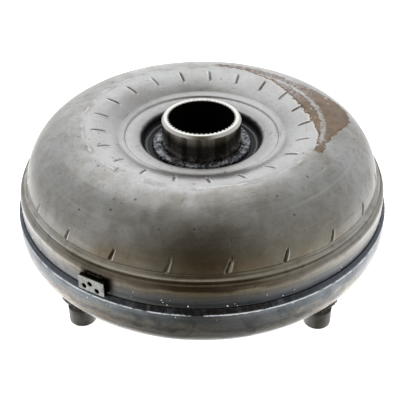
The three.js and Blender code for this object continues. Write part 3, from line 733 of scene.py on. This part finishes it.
def hub_finish():
    """The pump hub: a ground tube, darker towards its foot below its bright worn mouth, with painted
    shade inside its bore.
    """
    s = Shader("pump_hub_ground")
    rings = s.turned(0.35, 300, 1)
    cloud = s.noise(16, 4, 0.6, distortion=0.4)
    upright = s.noise(17, 2, 0.5, s.vector(s.times(s.cos, 0.05), s.times(s.sin, 0.05), 0.0))
    body = s.mix(s.step(upright, 0.42, 0.60), (0.58, 0.55, 0.48), (0.20, 0.165, 0.12))
    body = s.lay(body, (0.20, 0.17, 0.125), s.step(cloud, 0.42, 0.66), 0.25)
    foot = s.step(s.plus(s.z, s.times(cloud, 0.008)), (HUB_TOP_Z - 6) * MM, (NECK_Z + 4) * MM)
    body = s.lay(body, (0.05, 0.043, 0.035), foot, 0.3)
    height = s.plus(s.z, s.sway(s.noise(5, 3), 0.0012))
    mouth = s.step(height, (HUB_TOP_Z - 2.9) * MM, (HUB_TOP_Z - 2.1) * MM)
    colour = s.mix(mouth, body, (0.90, 0.89, 0.86))
    # Painted shade inside the bore, lighter at the tips of the teeth by the mouth.
    inside = s.step(s.r, (HUB_ROOT_R + 0.5) * MM, HUB_ROOT_R * MM)
    colour = s.lay(colour, (0.035, 0.033, 0.03), inside)
    tips = s.times(inside, s.step(s.z, (HUB_TOP_Z - 0.9) * MM, (HUB_TOP_Z - 0.2) * MM))
    colour = s.lay(colour, (0.5, 0.49, 0.46), tips)
    nicks = s.most(s.scratches(1.4, 0.25, (0.2, 0.1, 0.4)), s.specks(4, 0.07))
    colour = s.lay(colour, (0.05, 0.045, 0.04), nicks, 0.55)
    rough = s.blend(cloud, rings, 0.6, 0.15, 0.36)
    rough = s.plus(rough, s.times(inside, 0.2))
    return s.surface(colour, rough, 1.0, [(rings, 0.3, 0.05), (nicks, 0.5, -0.12)])


def weld_finish(name, dark, light, share=0.5, size=2.6, sides=None):
    """
    Weld metal: oxide between the ripples, bare and bluish on their crests. Where a sides colour is
    given, the bead is painted lighter away from the front, as painted light on its sides.
    """
    s = Shader(name)
    ripple = s.noise(size, 4, 0.7, distortion=0.5)
    cloud = s.noise(16, 3)
    colour = s.mix(s.step(ripple, 0.62 - 0.3 * share, 0.86 - 0.3 * share), dark, light)
    colour = s.lay(colour, (0.12, 0.085, 0.06), s.step(cloud, 0.48, 0.66), 0.25)
    if sides:
        # Painted light: the bead is lighter away from the front.
        colour = s.lay(colour, sides, s.step(s.cos_front, 0.97, 0.75), 0.7)
    rough = s.spread(ripple, 0.55, 0.28)
    return s.surface(colour, rough, 1.0, [(ripple, 0.6, 0.5), (s.noise(0.7, 2), 0.4, 0.12)])


def boss_finish():
    """Drive boss: dull brown-grey scale, lighter on its working end as a painted reflection of the
    floor.
    """
    s = Shader("boss_steel_scaled")
    cloud = s.noise(9, 4, 0.65)
    grain = s.noise(1.1, 3, 0.6)
    colour = s.mix(s.step(cloud, 0.36, 0.66), (0.24, 0.23, 0.215), (0.36, 0.35, 0.335))
    colour = s.lay(colour, (0.17, 0.095, 0.055), s.step(s.noise(5, 3, 0.7), 0.55, 0.7), 0.5)
    # Painted reflection: the lower rounded edge is lighter, where the floor would reflect.
    face = s.step(s.z, 0.0016, 0.0004)
    colour = s.lay(colour, (0.5, 0.49, 0.47), face, 0.7)
    rough = s.blend(cloud, grain, 0.5, 0.38, 0.68)
    return s.surface(colour, rough, 1.0, [(cloud, 0.3, 0.5), (grain, 0.5, 0.15)])


def weight_finish():
    """Balance weight: cut bright steel, with its sides and pockets painted near black as shade."""
    s = Shader("weight_steel_cut")
    cloud = s.noise(6, 4, 0.6)
    colour = s.mix(s.step(cloud, 0.36, 0.68), (0.33, 0.34, 0.315), (0.22, 0.225, 0.20))
    colour = s.lay(colour, (0.13, 0.13, 0.115), s.step(s.noise(2.2, 3), 0.5, 0.66), 0.4)
    colour = s.lay(colour, (0.12, 0.11, 0.1), s.specks(3, 0.12))
    _, out = weight_axes(s)
    plane = SKIRT_R + 0.3 + WEIGHT_SIZE[1]
    # Painted shade: everything set back from the front face, the sides and the pocket walls, is painted
    # near black.
    face = s.step(s.plus(out, s.times(cloud, 0.0003)), (plane - 0.9) * MM, (plane - 0.3) * MM)
    colour = s.mix(face, (0.012, 0.011, 0.01), colour)
    rough = s.spread(cloud, 0.28, 0.5)
    bumps = [(s.noise(0.9, 3), 0.4, 0.1), (cloud, 0.3, 0.25)]
    return s.surface(colour, rough, s.spread(face, 1.0, 0.35), bumps)


def plain_metal(name, light, dark, rough_low, rough_high, grain_size=1.2, pits=0.04):
    """A metal for the inner pieces: clouded tone, fine grain and a few pits."""
    s = Shader(name)
    cloud = s.noise(20, 4, 0.6)
    grain = s.noise(grain_size, 3, 0.6)
    colour = s.mix(s.step(cloud, 0.34, 0.68), light, dark)
    colour = s.lay(colour, tuple(0.5 * c for c in dark), s.step(grain, 0.55, 0.75), 0.35)
    spots = s.specks(4, pits)
    colour = s.lay(colour, tuple(0.25 * c for c in dark), spots, 0.6)
    rough = s.blend(cloud, grain, 0.5, rough_low, rough_high)
    return s.surface(colour, rough, 1.0, [(grain, 0.4, 0.1), (spots, 0.5, -0.15)])


# --- Impeller shell ---

TAB_INNER = (78, 90)  # radii that the inner tabs' dents span, on the dish side of the crest
TAB_OUTER_Z = (TORUS_Z + 6.5, TORUS_Z + 17)
TAB_DEPTH = 0.9
TAB_WIDTH = 0.9
TAB_STAGGER = 4.4  # degrees from an inner tab to its vane's outer tab


def shell_angles():
    """Columns every 1.5 degrees, and close together where a tab's dent crosses them."""
    angles = set(round(1.5 * i, 3) for i in range(240))
    for i in range(VANE_TABS):
        for phase in (TAB_PHASE, TAB_PHASE + TAB_STAGGER):
            centre = phase + 360 * i / VANE_TABS
            for k in range(-8, 9):
                angles.add(round((centre + 0.22 * k) % 360, 3))
    ordered = sorted(angles)
    kept = [ordered[0]]
    for angle in ordered[1:]:
        if angle - kept[-1] > 0.12:
            kept.append(angle)
    return [azimuth(a) for a in kept]


def dent(r, angle, phase, lean, width):
    """Depth, from 0 to 1, of the nearest tab's dent here, with slightly raised lips beside it."""
    pitch = 360 / VANE_TABS
    degrees = math.degrees(angle) + 90 - phase - lean
    off = (degrees + pitch / 2) % pitch - pitch / 2
    index = round((degrees - off) / pitch)
    strength = 0.95 + 0.18 * math.sin(2.4 * index + 0.7)
    across = math.radians(off) * r / width
    # The right lip rises more than the left, so that the finish's painted highlight falls there.
    lip = (0.35 if across > 0 else 0.1) * math.exp(-(((abs(across) - 2.0) / 0.7) ** 2))
    return strength * (math.exp(-(across**2)) - lip)


def tab_marks(r, z, angle):
    """The dents of the inner and outer tabs together: deepest at 1, lips below 0."""
    if z > TORUS_Z + 20:
        low_r, high_r = TAB_INNER
        along = smoothstep(low_r - 1.2, low_r + 2, r) * smoothstep(high_r + 1.5, high_r - 2, r)
        if along > 0:
            return along * dent(r, angle, TAB_PHASE, (r - 84) * 0.10, TAB_WIDTH)
    elif r > TORUS_R + 30:
        low_z, high_z = TAB_OUTER_Z
        along = smoothstep(low_z - 1, low_z + 1, z) * smoothstep(high_z + 1, high_z - 3, z)
        if along > 0:
            lean = (z - TORUS_Z - 12) * 0.15
            width = TAB_WIDTH * (1.35 - 0.6 * (z - low_z) / (high_z - low_z))
            return along * 1.2 * dent(r, angle, TAB_PHASE + TAB_STAGGER, lean, width)
    return 0.0


def shell_relief(r, z, angle):
    """Tab dents and the slight waviness of the drawn sheet, in millimetres outwards."""
    if math.hypot(r - TORUS_R, z - TORUS_Z) < SHELL_R - 1 or z < TORUS_Z + 4:
        return 0.0
    spot = Vector((r * math.cos(angle), r * math.sin(angle), z))
    wave = 0.35 * noise.noise(spot * 0.016) + 0.10 * noise.noise(spot * 0.06)
    return wave - TAB_DEPTH * tab_marks(r, z, angle)


def store_grooves(piece):
    """Keeps the dents' depth on the mesh, for the finish to paint shade in the dents and a highlight on
    their lips.
    """
    attribute = piece.data.attributes.new(GROOVE, "FLOAT", "POINT")
    for vertex in piece.data.vertices:
        x, y, z = vertex.co / MM
        attribute.data[vertex.index].value = tab_marks(math.hypot(x, y), z, math.atan2(y, x))


def build_shell():
    """Skirt, shelf, torus and dish in one stamping, from outside bottom round to inside bottom."""
    outside = [
        (SKIRT_R, SKIRT_END_Z),
        (SKIRT_R, LIP_Z + 17),
        *arc(SKIRT_R - 6, LIP_Z + 18, 6, 0, 62, 8),
        (149.9, SHELF_Z + 0.1),
        (149.5, SHELF_Z - 0.7),
        (149.1, SHELF_Z - 0.6),
        (148.9, SHELF_Z + 0.5),
        *arc(149.2, SHELF_Z + 4.6, 3.8, 262, 184, 6),
        *arc(TORUS_R, TORUS_Z, SHELL_R, 7.5, 96, 60),
        *arc(TORUS_R, TORUS_Z, SHELL_R, 97.5, 128, 24),
        (DISH_EDGE_R + 2.2, DISH_EDGE_Z + 0.75),
        (DISH_EDGE_R + 0.7, DISH_EDGE_Z + 0.35),
        (DISH_EDGE_R, DISH_EDGE_Z),
        (DISH_EDGE_R - 0.6, DISH_EDGE_Z - 1.2),
        (DISH_EDGE_R - 1.8, DISH_EDGE_Z - 1.6),
        (58, DISH_EDGE_Z - 1.5),
        *arc(53.5, DISH_EDGE_Z - 6.6, 5, 82, 158, 7),
        *arc(44.5, NECK_Z + 4.2, 4.2, 338, 268, 5),
        (NECK_R, NECK_Z),
    ]
    inside = [
        (NECK_R, NECK_Z - SHELL_T),
        (46.5, NECK_Z - 3.2),
        (54, NECK_Z + 3),
        *arc(TORUS_R, TORUS_Z, SHELL_R - SHELL_T, 134, 4, 18),
        (SKIRT_R - SHELL_T, LIP_Z + 19),
        (SKIRT_R - SHELL_T, SKIRT_END_Z),
    ]
    outline = dense(outside + inside, 4.0)
    piece = lathe("impeller_shell_fine", outline, shell_angles(), shell_relief, sharp=40)
    store_grooves(piece)
    place(piece, "housing", "shell_steel", shell_finish(), "impeller_shell")


# --- Pump hub and its weld ---


def build_hub():
    flange_top = NECK_Z - SHELL_T - 0.3
    spigot = NECK_R - 0.3
    corners = [
        (HUB_BORE_R, HUB_LOW_Z, 0.6),
        (HUB_FLANGE_R, HUB_LOW_Z, 0.5),
        (HUB_FLANGE_R, flange_top, 0.5),
        (spigot, flange_top, 0.3),
        (spigot, NECK_Z, 0.3),
        (HUB_R, NECK_Z, 0.8),
        (HUB_R, HUB_TOP_Z - 2.3, 1.2),
        (HUB_R - 1.7, HUB_TOP_Z, 0.7),
        (HUB_BORE_R, HUB_TOP_Z, 0.35),
    ]
    serration_end = HUB_TOP_Z - 18

    def teeth(r, z, angle):
        if r > HUB_BORE_R + 0.6 or z < serration_end - 0.6:
            return 0.0
        phase = (angle * HUB_TEETH / TURN) % 1
        root = 1 - abs(2 * phase - 1)
        depth = (HUB_ROOT_R - HUB_BORE_R) * smoothstep(0.1, 0.9, root)
        return -depth * smoothstep(serration_end - 0.6, serration_end, z)

    outline = dense(rounded(corners, 4), 3)
    piece = lathe("pump_hub_fine", outline, even_angles(HUB_TEETH * 8), teeth, sharp=38)
    place(piece, "housing", "machined_steel", hub_finish(), "pump_hub")


def ripples(angle, count, seed):
    """The scalloped height of a weld bead, 0 to 1, uneven as a hand-laid bead is."""
    wander = 0.6 * noise.noise(Vector((math.cos(angle) * 6, math.sin(angle) * 6, seed)))
    phase = (angle * count / TURN + wander) % 1
    uneven = 0.5 + noise.noise(Vector((math.cos(angle) * 19, math.sin(angle) * 19, seed)))
    return (1 - abs(2 * phase - 1) ** 1.6) * 0.7 + 0.3 * uneven


def ring_weld(name, corners, spacing, columns, bead, finish, node):
    """A weld bead that runs right round the axis."""
    outline = dense(rounded(corners, 4), spacing)
    piece = lathe(name, outline, even_angles(columns), bead, sharp=70)
    place(piece, "housing", "weld_steel", finish, node)


def build_hub_weld():
    corners = [
        (HUB_R + 0.3, NECK_Z + 0.3, 0.1),
        (41.3, NECK_Z + 0.5, 0.3),
        (40.3, NECK_Z + 2.2, 1.2),
        (37, NECK_Z + 3.0, 1.5),
        (HUB_R + 0.3, NECK_Z + 2.3, 0.4),
    ]

    def bead(r, z, angle):
        if z < NECK_Z + 0.8:
            return 0.0
        lag = (r - 36) * 0.02
        return 0.75 * (ripples(angle + lag, 66, 3.1) - 0.6)

    finish = weld_finish("hub_weld_metal", (0.05, 0.053, 0.062), (0.40, 0.42, 0.47), 0.75, 5)
    ring_weld("hub_weld_bead", corners, 1.2, 540, bead, finish, "hub_weld")


# --- Closing weld and its spatter ---


def build_closing_weld():
    corners = [
        (SKIRT_R + 0.25, LIP_Z + 0.25, 0.1),
        (RIM_R - 0.1, LIP_Z + 0.25, 0.2),
        (RIM_R - 0.3, LIP_Z + 1.6, 0.9),
        (SKIRT_R + 1.0, LIP_Z + 3.4, 1.4),
        (SKIRT_R + 0.25, LIP_Z + 3.9, 0.3),
    ]

    def bead(r, z, angle):
        if z < LIP_Z + 0.8:
            return 0.0
        return 0.22 * (ripples(angle, 190, 8.4) - 0.55)

    dark, light, sides = (0.055, 0.06, 0.072), (0.17, 0.19, 0.225), (0.20, 0.225, 0.265)
    finish = weld_finish("closing_weld_metal", dark, light, 0.5, 7, sides)
    ring_weld("closing_weld_bead", corners, 1.0, 1140, bead, finish, "closing_weld")
    build_spatter()


SPATTER_SEED = 5
SPATTER_DROPS = 150
SPATTER_SIZES = (0.25, 0.3, 0.35, 0.4, 0.6)
SPATTER_ON_LIP = 0.45  # share of the drops


def build_spatter():
    """Drops of weld metal stuck to the skirt and the lip."""
    draw = random.Random(SPATTER_SEED)
    bm = bmesh.new()
    for _ in range(SPATTER_DROPS):
        angle = draw.uniform(0, TURN)
        size = draw.choice(SPATTER_SIZES)
        if draw.random() < SPATTER_ON_LIP:
            r = RIM_R - 0.2
            z = LIP_Z - draw.uniform(0.4, 5)
        else:
            r = SKIRT_R
            z = LIP_Z + 4.5 + abs(draw.gauss(0, 3.5))
        spot = Matrix.Translation((r * math.cos(angle), r * math.sin(angle), z))
        squash = Matrix.Diagonal((1, 1, draw.uniform(0.7, 1.2), 1))
        bmesh.ops.create_icosphere(bm, subdivisions=2, radius=size, matrix=spot @ squash)
    piece = finish_mesh("weld_spatter", bm, 80)
    s = Shader("spatter_metal")
    piece.data.materials.append(s.surface((0.82, 0.82, 0.80), 0.35, 0.3))
    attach(piece, "housing")


# --- Front cover, pilot and drive bosses ---


def cover_face_z(r):
    """Height of the cover's outside face at a radius past its recess."""
    centre = RIM_R - COVER_SHOULDER
    if r <= centre:
        return COVER_LOW_Z
    reach = min(r - centre, COVER_SHOULDER)
    return COVER_LOW_Z + COVER_SHOULDER - math.sqrt(COVER_SHOULDER**2 - reach**2)


def build_cover():
    centre_r = RIM_R - COVER_SHOULDER
    centre_z = COVER_LOW_Z + COVER_SHOULDER
    inner_r = RIM_R - COVER_T
    recess = rounded(
        [
            (COVER_BORE_R, COVER_DISH_Z, 0),
            (COVER_DISH_R, COVER_DISH_Z, 7),
            (COVER_DISH_R + 9, COVER_LOW_Z, 7),
            (centre_r, COVER_LOW_Z, 0),
        ],
        8,
    )
    outline = [
        *recess,
        *arc(centre_r, centre_z, COVER_SHOULDER, -88, 0, 28),
        (RIM_R, LIP_Z - 0.9),
        (RIM_R - 0.25, LIP_Z - 0.25),
        (RIM_R - 0.9, LIP_Z),
        (SKIRT_R + 0.7, LIP_Z),
        (SKIRT_R + 0.7, SKIRT_END_Z - 1),
        (inner_r, SKIRT_END_Z - 1),
        *arc(centre_r, centre_z, COVER_SHOULDER - COVER_T, 0, -90, 12),
        (COVER_DISH_R + 12, COVER_LOW_Z + COVER_T),
        (COVER_DISH_R + 2, COVER_DISH_Z + COVER_T),
        (COVER_BORE_R, COVER_DISH_Z + COVER_T),
    ]

    def wave(r, z, angle):
        if z > LIP_Z - 4:
            ragged = noise.noise(Vector((math.cos(angle) * 55, math.sin(angle) * 55, z * 0.3)))
            return 0.18 * ragged * smoothstep(RIM_R - 1, RIM_R - 0.2, r)
        place_here = Vector((r * math.cos(angle), r * math.sin(angle), z))
        return 0.25 * noise.noise(place_here * 0.02)

    piece = lathe("front_cover_fine", dense(outline, 5), even_angles(540), wave, sharp=40)
    place(piece, "housing", "cover_steel", cover_finish(), "front_cover")


def build_pilot():
    top = high("crank_pilot")
    low_z = low("crank_pilot").z
    pilot_r = top.x
    corners = [
        (0, low_z + 2.2, 0),
        (3.2, low_z + 0.6, 0.3),
        (3.8, low_z, 0.2),
        (pilot_r - 2, low_z, 0.8),
        (pilot_r, low_z + 3, 1.5),
        (pilot_r, COVER_DISH_Z - 0.3, 0.2),
        (PILOT_SPIGOT_R, COVER_DISH_Z - 0.3, 0.2),
        (PILOT_SPIGOT_R, top.z, 0.4),
        (0, top.z, 0),
    ]
    piece = lathe("crank_pilot_fine", dense(rounded(corners, 4), 4), even_angles(96), sharp=38)
    place(piece, "housing", "machined_steel", machined_finish("pilot_steel_turned"), "crank_pilot")

    def bead(r, z, angle):
        return 0.5 * (ripples(angle, 44, 5.5) - 0.6) if z < COVER_DISH_Z - 0.6 else 0.0

    fillet = [
        (pilot_r + 0.25, COVER_DISH_Z - 0.25, 0.1),
        (pilot_r + 0.25, COVER_DISH_Z - 3.8, 0.6),
        (pilot_r + 2.6, COVER_DISH_Z - 2.4, 1.4),
        (pilot_r + 4.2, COVER_DISH_Z - 0.25, 0.4),
    ]
    finish = weld_finish("pilot_weld_metal", (0.03, 0.03, 0.034), (0.22, 0.23, 0.25), 0.5)
    ring_weld("pilot_weld_bead", fillet, 1.0, 264, bead, finish, "pilot_weld")


THREAD_PITCH = 1.5
THREAD_ROOT_R = 5.0
THREAD_TIP_R = 4.25
THREAD_DEPTH = 12
THREAD_ROW = 0.25  # mm between the rows of points that carry the thread


def build_bosses():
    finish = boss_finish()
    bead_metal = weld_finish("boss_weld_metal", (0.14, 0.135, 0.13), (0.42, 0.41, 0.40), 0.5)
    for index, node in enumerate(BOSSES, 1):
        centre = middle(node)
        build_boss(index, node, (centre.x, centre.y), finish)
        build_boss_weld(index, (centre.x, centre.y), bead_metal)


def build_boss(index, node, centre, finish):
    """A turned stud with a rounded end and a tapped hole, its top hidden in the weld."""
    inboard = math.hypot(*centre) - BOSS_R
    top = cover_face_z(inboard) - 0.4
    rows = [(THREAD_TIP_R, k * THREAD_ROW) for k in range(int(THREAD_DEPTH / THREAD_ROW), 3, -1)]
    outline = [
        (0, THREAD_DEPTH + 2.2),
        (THREAD_TIP_R - 0.1, THREAD_DEPTH + 0.3),
        *rows,
        (THREAD_ROOT_R + 0.1, 0.12),
        (THREAD_ROOT_R + 0.3, 0),
        (BOSS_R - 2.2, 0),
        *arc(BOSS_R - 2.0, 2.0, 2.0, -80, 0, 6),
        *[(BOSS_R, 2.6 + (top - 2.6) * k / 6) for k in range(7)],
        (0, top),
    ]

    def relief(r, z, angle):
        if abs(r - THREAD_TIP_R) < 0.02 and 0.8 < z <= THREAD_DEPTH:
            phase = (z / THREAD_PITCH - angle / TURN) % 1
            groove = 1 - abs(2 * phase - 1)
            fade = smoothstep(THREAD_DEPTH, THREAD_DEPTH - 1.5, z)
            return -(THREAD_ROOT_R - THREAD_TIP_R) * groove * fade
        if r > BOSS_R - 0.5:
            spot = Vector((r * math.cos(angle) + 40 * index, r * math.sin(angle), z))
            return 0.16 * noise.noise(spot * 0.22) - 0.08
        return 0.0

    piece = lathe(f"drive_boss_{index}", outline, even_angles(72), relief, centre, sharp=42)
    place(piece, "housing", "boss_steel", finish, node)


def build_boss_weld(index, centre, finish):
    """A fillet bead round a boss, following the cover's shoulder."""
    steps = 132
    sides = 12

    def section(i):
        angle = TURN * i / steps
        out = Vector((math.cos(angle), math.sin(angle)))
        middle_r = BOSS_R + 0.9
        foot = Vector(centre) + out * (middle_r + 1.2)
        z = cover_face_z(foot.length) - 0.9
        height = 0.75 * ripples(angle, 26, 2.2 * index)
        points = []
        for k in range(sides):
            a = TURN * k / sides
            size = 2.1 + height * 0.8
            spot = Vector(centre) + out * (middle_r + 0.55 + size * 0.95 * math.cos(a))
            points.append((spot.x, spot.y, z + size * math.sin(a)))
        return points

    piece = tube(f"boss_weld_bead_{index}", steps, section)
    place(piece, "housing", "weld_steel", finish, f"boss_weld_{index}")


# --- Balance weight ---

WEIGHT_AZIMUTH = -31.3
WEIGHT_SIZE = (23, 5, 12)
POCKETS = ((-0.27, -0.17), (-0.04, 0.12), (0.23, -0.22))  # as shares of the width and height
POCKET_R = 2.25
POCKET_DEPTH = 3.4


def build_weight():
    """A bevelled block with three drilled pockets, and the bead above it."""
    width, depth, height = WEIGHT_SIZE
    bm = bmesh.new()
    bmesh.ops.create_cube(bm, size=1, matrix=Matrix.Diagonal((width, depth, height, 1)))
    bmesh.ops.bevel(bm, geom=bm.edges[:], offset=0.7, segments=3, affect="EDGES", profile=0.6)
    piece = finish_mesh("balance_weight_block", bm)
    drills = bmesh.new()
    lying = Matrix.Rotation(math.pi / 2, 4, "X")
    for u, v in POCKETS:
        spot = Matrix.Translation((u * width, -depth / 2, v * height)) @ lying
        bmesh.ops.create_cone(
            drills,
            cap_ends=True,
            segments=40,
            radius1=POCKET_R,
            radius2=POCKET_R,
            depth=2 * POCKET_DEPTH,
            matrix=spot,
        )
    cutter = finish_mesh("pocket_cutter", drills)
    cut = piece.modifiers.new("pockets", "BOOLEAN")
    cut.object = cutter
    cut.solver = "EXACT"
    bake_modifiers(piece)
    bpy.data.objects.remove(cutter)
    piece.data.shade_smooth()
    piece.data.set_sharp_from_angle(angle=math.radians(35))
    centre = middle("balance_weight")
    reach = SKIRT_R + 0.3 + depth / 2
    angle = azimuth(WEIGHT_AZIMUTH)
    spin = Matrix.Rotation(angle + math.pi / 2, 4, "Z")
    spot = Vector((reach * math.cos(angle), reach * math.sin(angle), centre.z)) * MM
    piece.data.transform(Matrix.Translation(spot) @ spin)
    place(piece, "housing", "machined_steel", weight_finish(), "balance_weight")
    build_weight_weld(spin)


def build_weight_weld(spin):
    bottom = low("weight_weld").z
    steps = 40
    sides = 10
    length = 16
    bm = bmesh.new()
    rings = []
    for i in range(steps + 1):
        u = i / steps
        taper = math.sqrt(max(0.03, 1 - (2 * u - 1) ** 6))
        size = 1.0 + 0.25 * math.sin(26 * u) + 0.2 * noise.noise(Vector((u * 9, 2, 1)))
        ring = []
        for k in range(sides):
            a = TURN * k / sides
            out = SKIRT_R + 0.9 + 1.5 * size * taper * math.cos(a) * 0.8
            up = bottom + 0.8 + 1.3 * size * taper * math.sin(a)
            ring.append(bm.verts.new(((u - 0.5) * length, -out, up)))
        rings.append(ring)
    for this, following in zip(rings, rings[1:]):
        for k in range(sides):
            m = (k + 1) % sides
            bm.faces.new((this[k], this[m], following[m], following[k]))
    for end in (rings[0], rings[-1]):
        bm.faces.new(end)
    piece = finish_mesh("weight_weld_bead", bm, 70)
    piece.data.transform(spin)
    finish = weld_finish("weight_weld_metal", (0.012, 0.011, 0.011), (0.10, 0.10, 0.105), 0.3)
    place(piece, "housing", "weld_steel", finish, "weight_weld")


def bake_modifiers(piece):
    """Applies a piece's modifiers to its mesh."""
    graph = bpy.context.evaluated_depsgraph_get()
    baked = bpy.data.meshes.new_from_object(piece.evaluated_get(graph))
    piece.modifiers.clear()
    piece.data = baked


# --- Inner pieces keep their CAD shape ---


def finish_inner():
    """Gives the inner CAD pieces their own metals, by the record's material slots."""
    finishes = {
        "stamped_steel": plain_metal("stamped_sheet", (0.42, 0.42, 0.41), (0.30, 0.29, 0.27), 0.3, 0.5),
        "cast_aluminium": plain_metal(
            "cast_aluminium_skin", (0.62, 0.63, 0.64), (0.5, 0.51, 0.52), 0.4, 0.62, 0.9, 0.1
        ),
        "hardened_steel": machined_finish("hardened_steel_ground", (0.52, 0.53, 0.54), 0.25),
        "spring_steel": plain_metal("spring_strip", (0.22, 0.25, 0.31), (0.16, 0.17, 0.2), 0.25, 0.4),
        "bronze": plain_metal("bearing_bronze", (0.62, 0.44, 0.21), (0.45, 0.3, 0.14), 0.28, 0.48),
        "machined_steel": machined_finish("turbine_hub_turned", (0.5, 0.49, 0.46), 0.4),
    }
    slots = {row["node"]: row["material_slot"] for row in frame["record"]["subparts"]}
    for name, node in frame["nodes"].items():
        if slots[name] in finishes:
            node.data.materials.clear()
            node.data.materials.append(finishes[slots[name]])


# --- Floor, light and camera ---


def build_floor():
    bm = bmesh.new()
    bmesh.ops.create_grid(bm, x_segments=1, y_segments=1, size=6000)
    floor = finish_mesh("floor", bm)
    s = Shader("floor_white")
    tone = s.mix(s.noise(400, 2), (0.90, 0.90, 0.90), (0.94, 0.94, 0.94))
    s.link(tone, s.bsdf.inputs["Emission Color"])
    s.bsdf.inputs["Emission Strength"].default_value = FLOOR_GLOW
    floor.data.materials.append(s.surface(tone, 0.9, 0.0))
    floor.visible_glossy = False


# What the metal reflects: a white studio that darkens to brown in front. Each row is an angle in
# degrees away from the darkest direction, and the brightness there.
DARK_WAY = (0.0, -math.cos(math.radians(20)), math.sin(math.radians(20)))
ROOM = (
    (180, (1.08, 1.08, 1.09)),
    (150, (1.04, 1.04, 1.05)),
    (125, (0.86, 0.86, 0.86)),
    (105, (0.56, 0.56, 0.56)),
    (81, (0.38, 0.38, 0.37)),
    (69, (0.38, 0.375, 0.355)),
    (59, (0.26, 0.25, 0.22)),
    (49, (0.145, 0.134, 0.108)),
    (37, (0.072, 0.061, 0.042)),
    (27, (0.045, 0.033, 0.019)),
    (0, (0.037, 0.025, 0.013)),
)
ROOM_STRENGTH = 1.12
ROOM_R = 4000
NARROW = 2.9  # the dark part is this much narrower than it is high
UNDER_WAY = (0.0, -math.sin(math.radians(20)), -math.cos(math.radians(20)))
UNDER_START = 0.45  # cosine of the angle to UNDER_WAY where the part's own shade begins
UNDER_END = 0.95
UNDER_SHARE = 0.12  # how bright the room is in that shade
TABLE_START = -0.1  # how far down a way points, as its z, where the lit table begins and is whole
TABLE_END = -0.5
TABLE_SHARE = 2.0  # how bright the lit table is, against the walls
WORLD_STRENGTH = 1.5
FLOOR_GLOW = 0.8  # lifts the floor under the part, as light through a white table does


def build_room():
    """The reflected studio is a sphere that only glossy rays see."""
    bm = bmesh.new()
    bmesh.ops.create_icosphere(bm, subdivisions=4, radius=ROOM_R)
    room = finish_mesh("studio_reflection", bm)
    material = bpy.data.materials.new("studio_glow")
    material.use_nodes = True
    material.node_tree.nodes.clear()
    n = Nodes(material.node_tree)
    way = n.vector_math("NORMALIZE", n.scaled(n.place, (NARROW, 1, 1)))[0]
    towards_dark = n.vector_math("DOT_PRODUCT", way, DARK_WAY)["Value"]
    stops = [((1 + math.cos(math.radians(angle))) / 2, colour) for angle, colour in ROOM]
    tone = n.ramp(n.times(n.plus(towards_dark, 1.0), 0.5), stops)
    true_way = n.vector_math("NORMALIZE", n.place)[0]
    down = n.vector_math("DOT_PRODUCT", true_way, UNDER_WAY)["Value"]
    wall = n.spread(n.step(down, UNDER_START, UNDER_END), ROOM_STRENGTH, ROOM_STRENGTH * UNDER_SHARE)
    table = n.spread(n.step(n.parts(true_way)[2], TABLE_START, TABLE_END), 1, TABLE_SHARE)
    glow = n.feed(n.add("ShaderNodeEmission"), tone, n.times(wall, table))
    n.link(glow.outputs[0], n.add("ShaderNodeOutputMaterial").inputs["Surface"])
    material.cycles.emission_sampling = "NONE"
    room.data.materials.append(material)
    for ray in ("camera", "diffuse", "transmission", "shadow"):
        setattr(room, f"visible_{ray}", False)


def build_world():
    """Plain white, for the background and for everything that isn't a reflection."""
    world = bpy.data.worlds.new("white_studio")
    bpy.context.scene.world = world
    world.use_nodes = True
    background = world.node_tree.nodes["Background"]
    background.inputs["Color"].default_value = (1, 1, 1, 1)
    background.inputs["Strength"].default_value = WORLD_STRENGTH
    world.cycles_visibility.glossy = False


def soft_light(name, place_m, size, watts):
    """A square area light that faces the middle of the part."""
    data = bpy.data.lights.new(name, "AREA")
    data.size = size
    data.energy = watts
    light = bpy.data.objects.new(name, data)
    light.location = place_m
    aim = Vector((0, 0, 0.08)) - Vector(place_m)
    light.rotation_euler = aim.to_track_quat("-Z", "Y").to_euler()
    bpy.context.scene.collection.objects.link(light)


def build_lights():
    soft_light("overhead", (-0.3, 0.7, 1.6), 1.4, 3.0)


CAMERA_ELEVATION = math.radians(35.05)
CAMERA_ROLL = math.radians(-0.48)
CAMERA_DISTANCE = 0.750
CAMERA_AIM = Vector((-1.74, 0, LIP_Z - 7.9)) * MM
LENS_MM = 77.7


def build_camera():
    data = bpy.data.cameras.new("camera")
    data.sensor_width = 36
    data.lens = LENS_MM
    camera = bpy.data.objects.new("camera", data)
    forward = Vector((0, math.cos(CAMERA_ELEVATION), -math.sin(CAMERA_ELEVATION)))
    up = Vector((0, math.sin(CAMERA_ELEVATION), math.cos(CAMERA_ELEVATION)))
    right = Vector((1, 0, 0))
    rolled_up = up * math.cos(CAMERA_ROLL) - right * math.sin(CAMERA_ROLL)
    rolled_right = right * math.cos(CAMERA_ROLL) + up * math.sin(CAMERA_ROLL)
    turn = Matrix((rolled_right, rolled_up, -forward)).transposed().to_4x4()
    camera.matrix_world = Matrix.Translation(CAMERA_AIM - forward * CAMERA_DISTANCE) @ turn
    bpy.context.scene.collection.objects.link(camera)
    bpy.context.scene.camera = camera


build_camera()
build_world()
build_room()
build_lights()
build_floor()
bpy.context.scene.view_settings.view_transform = "Standard"
build_shell()
build_hub()
build_hub_weld()
build_closing_weld()
build_cover()
build_pilot()
build_bosses()
build_weight()
finish_inner()
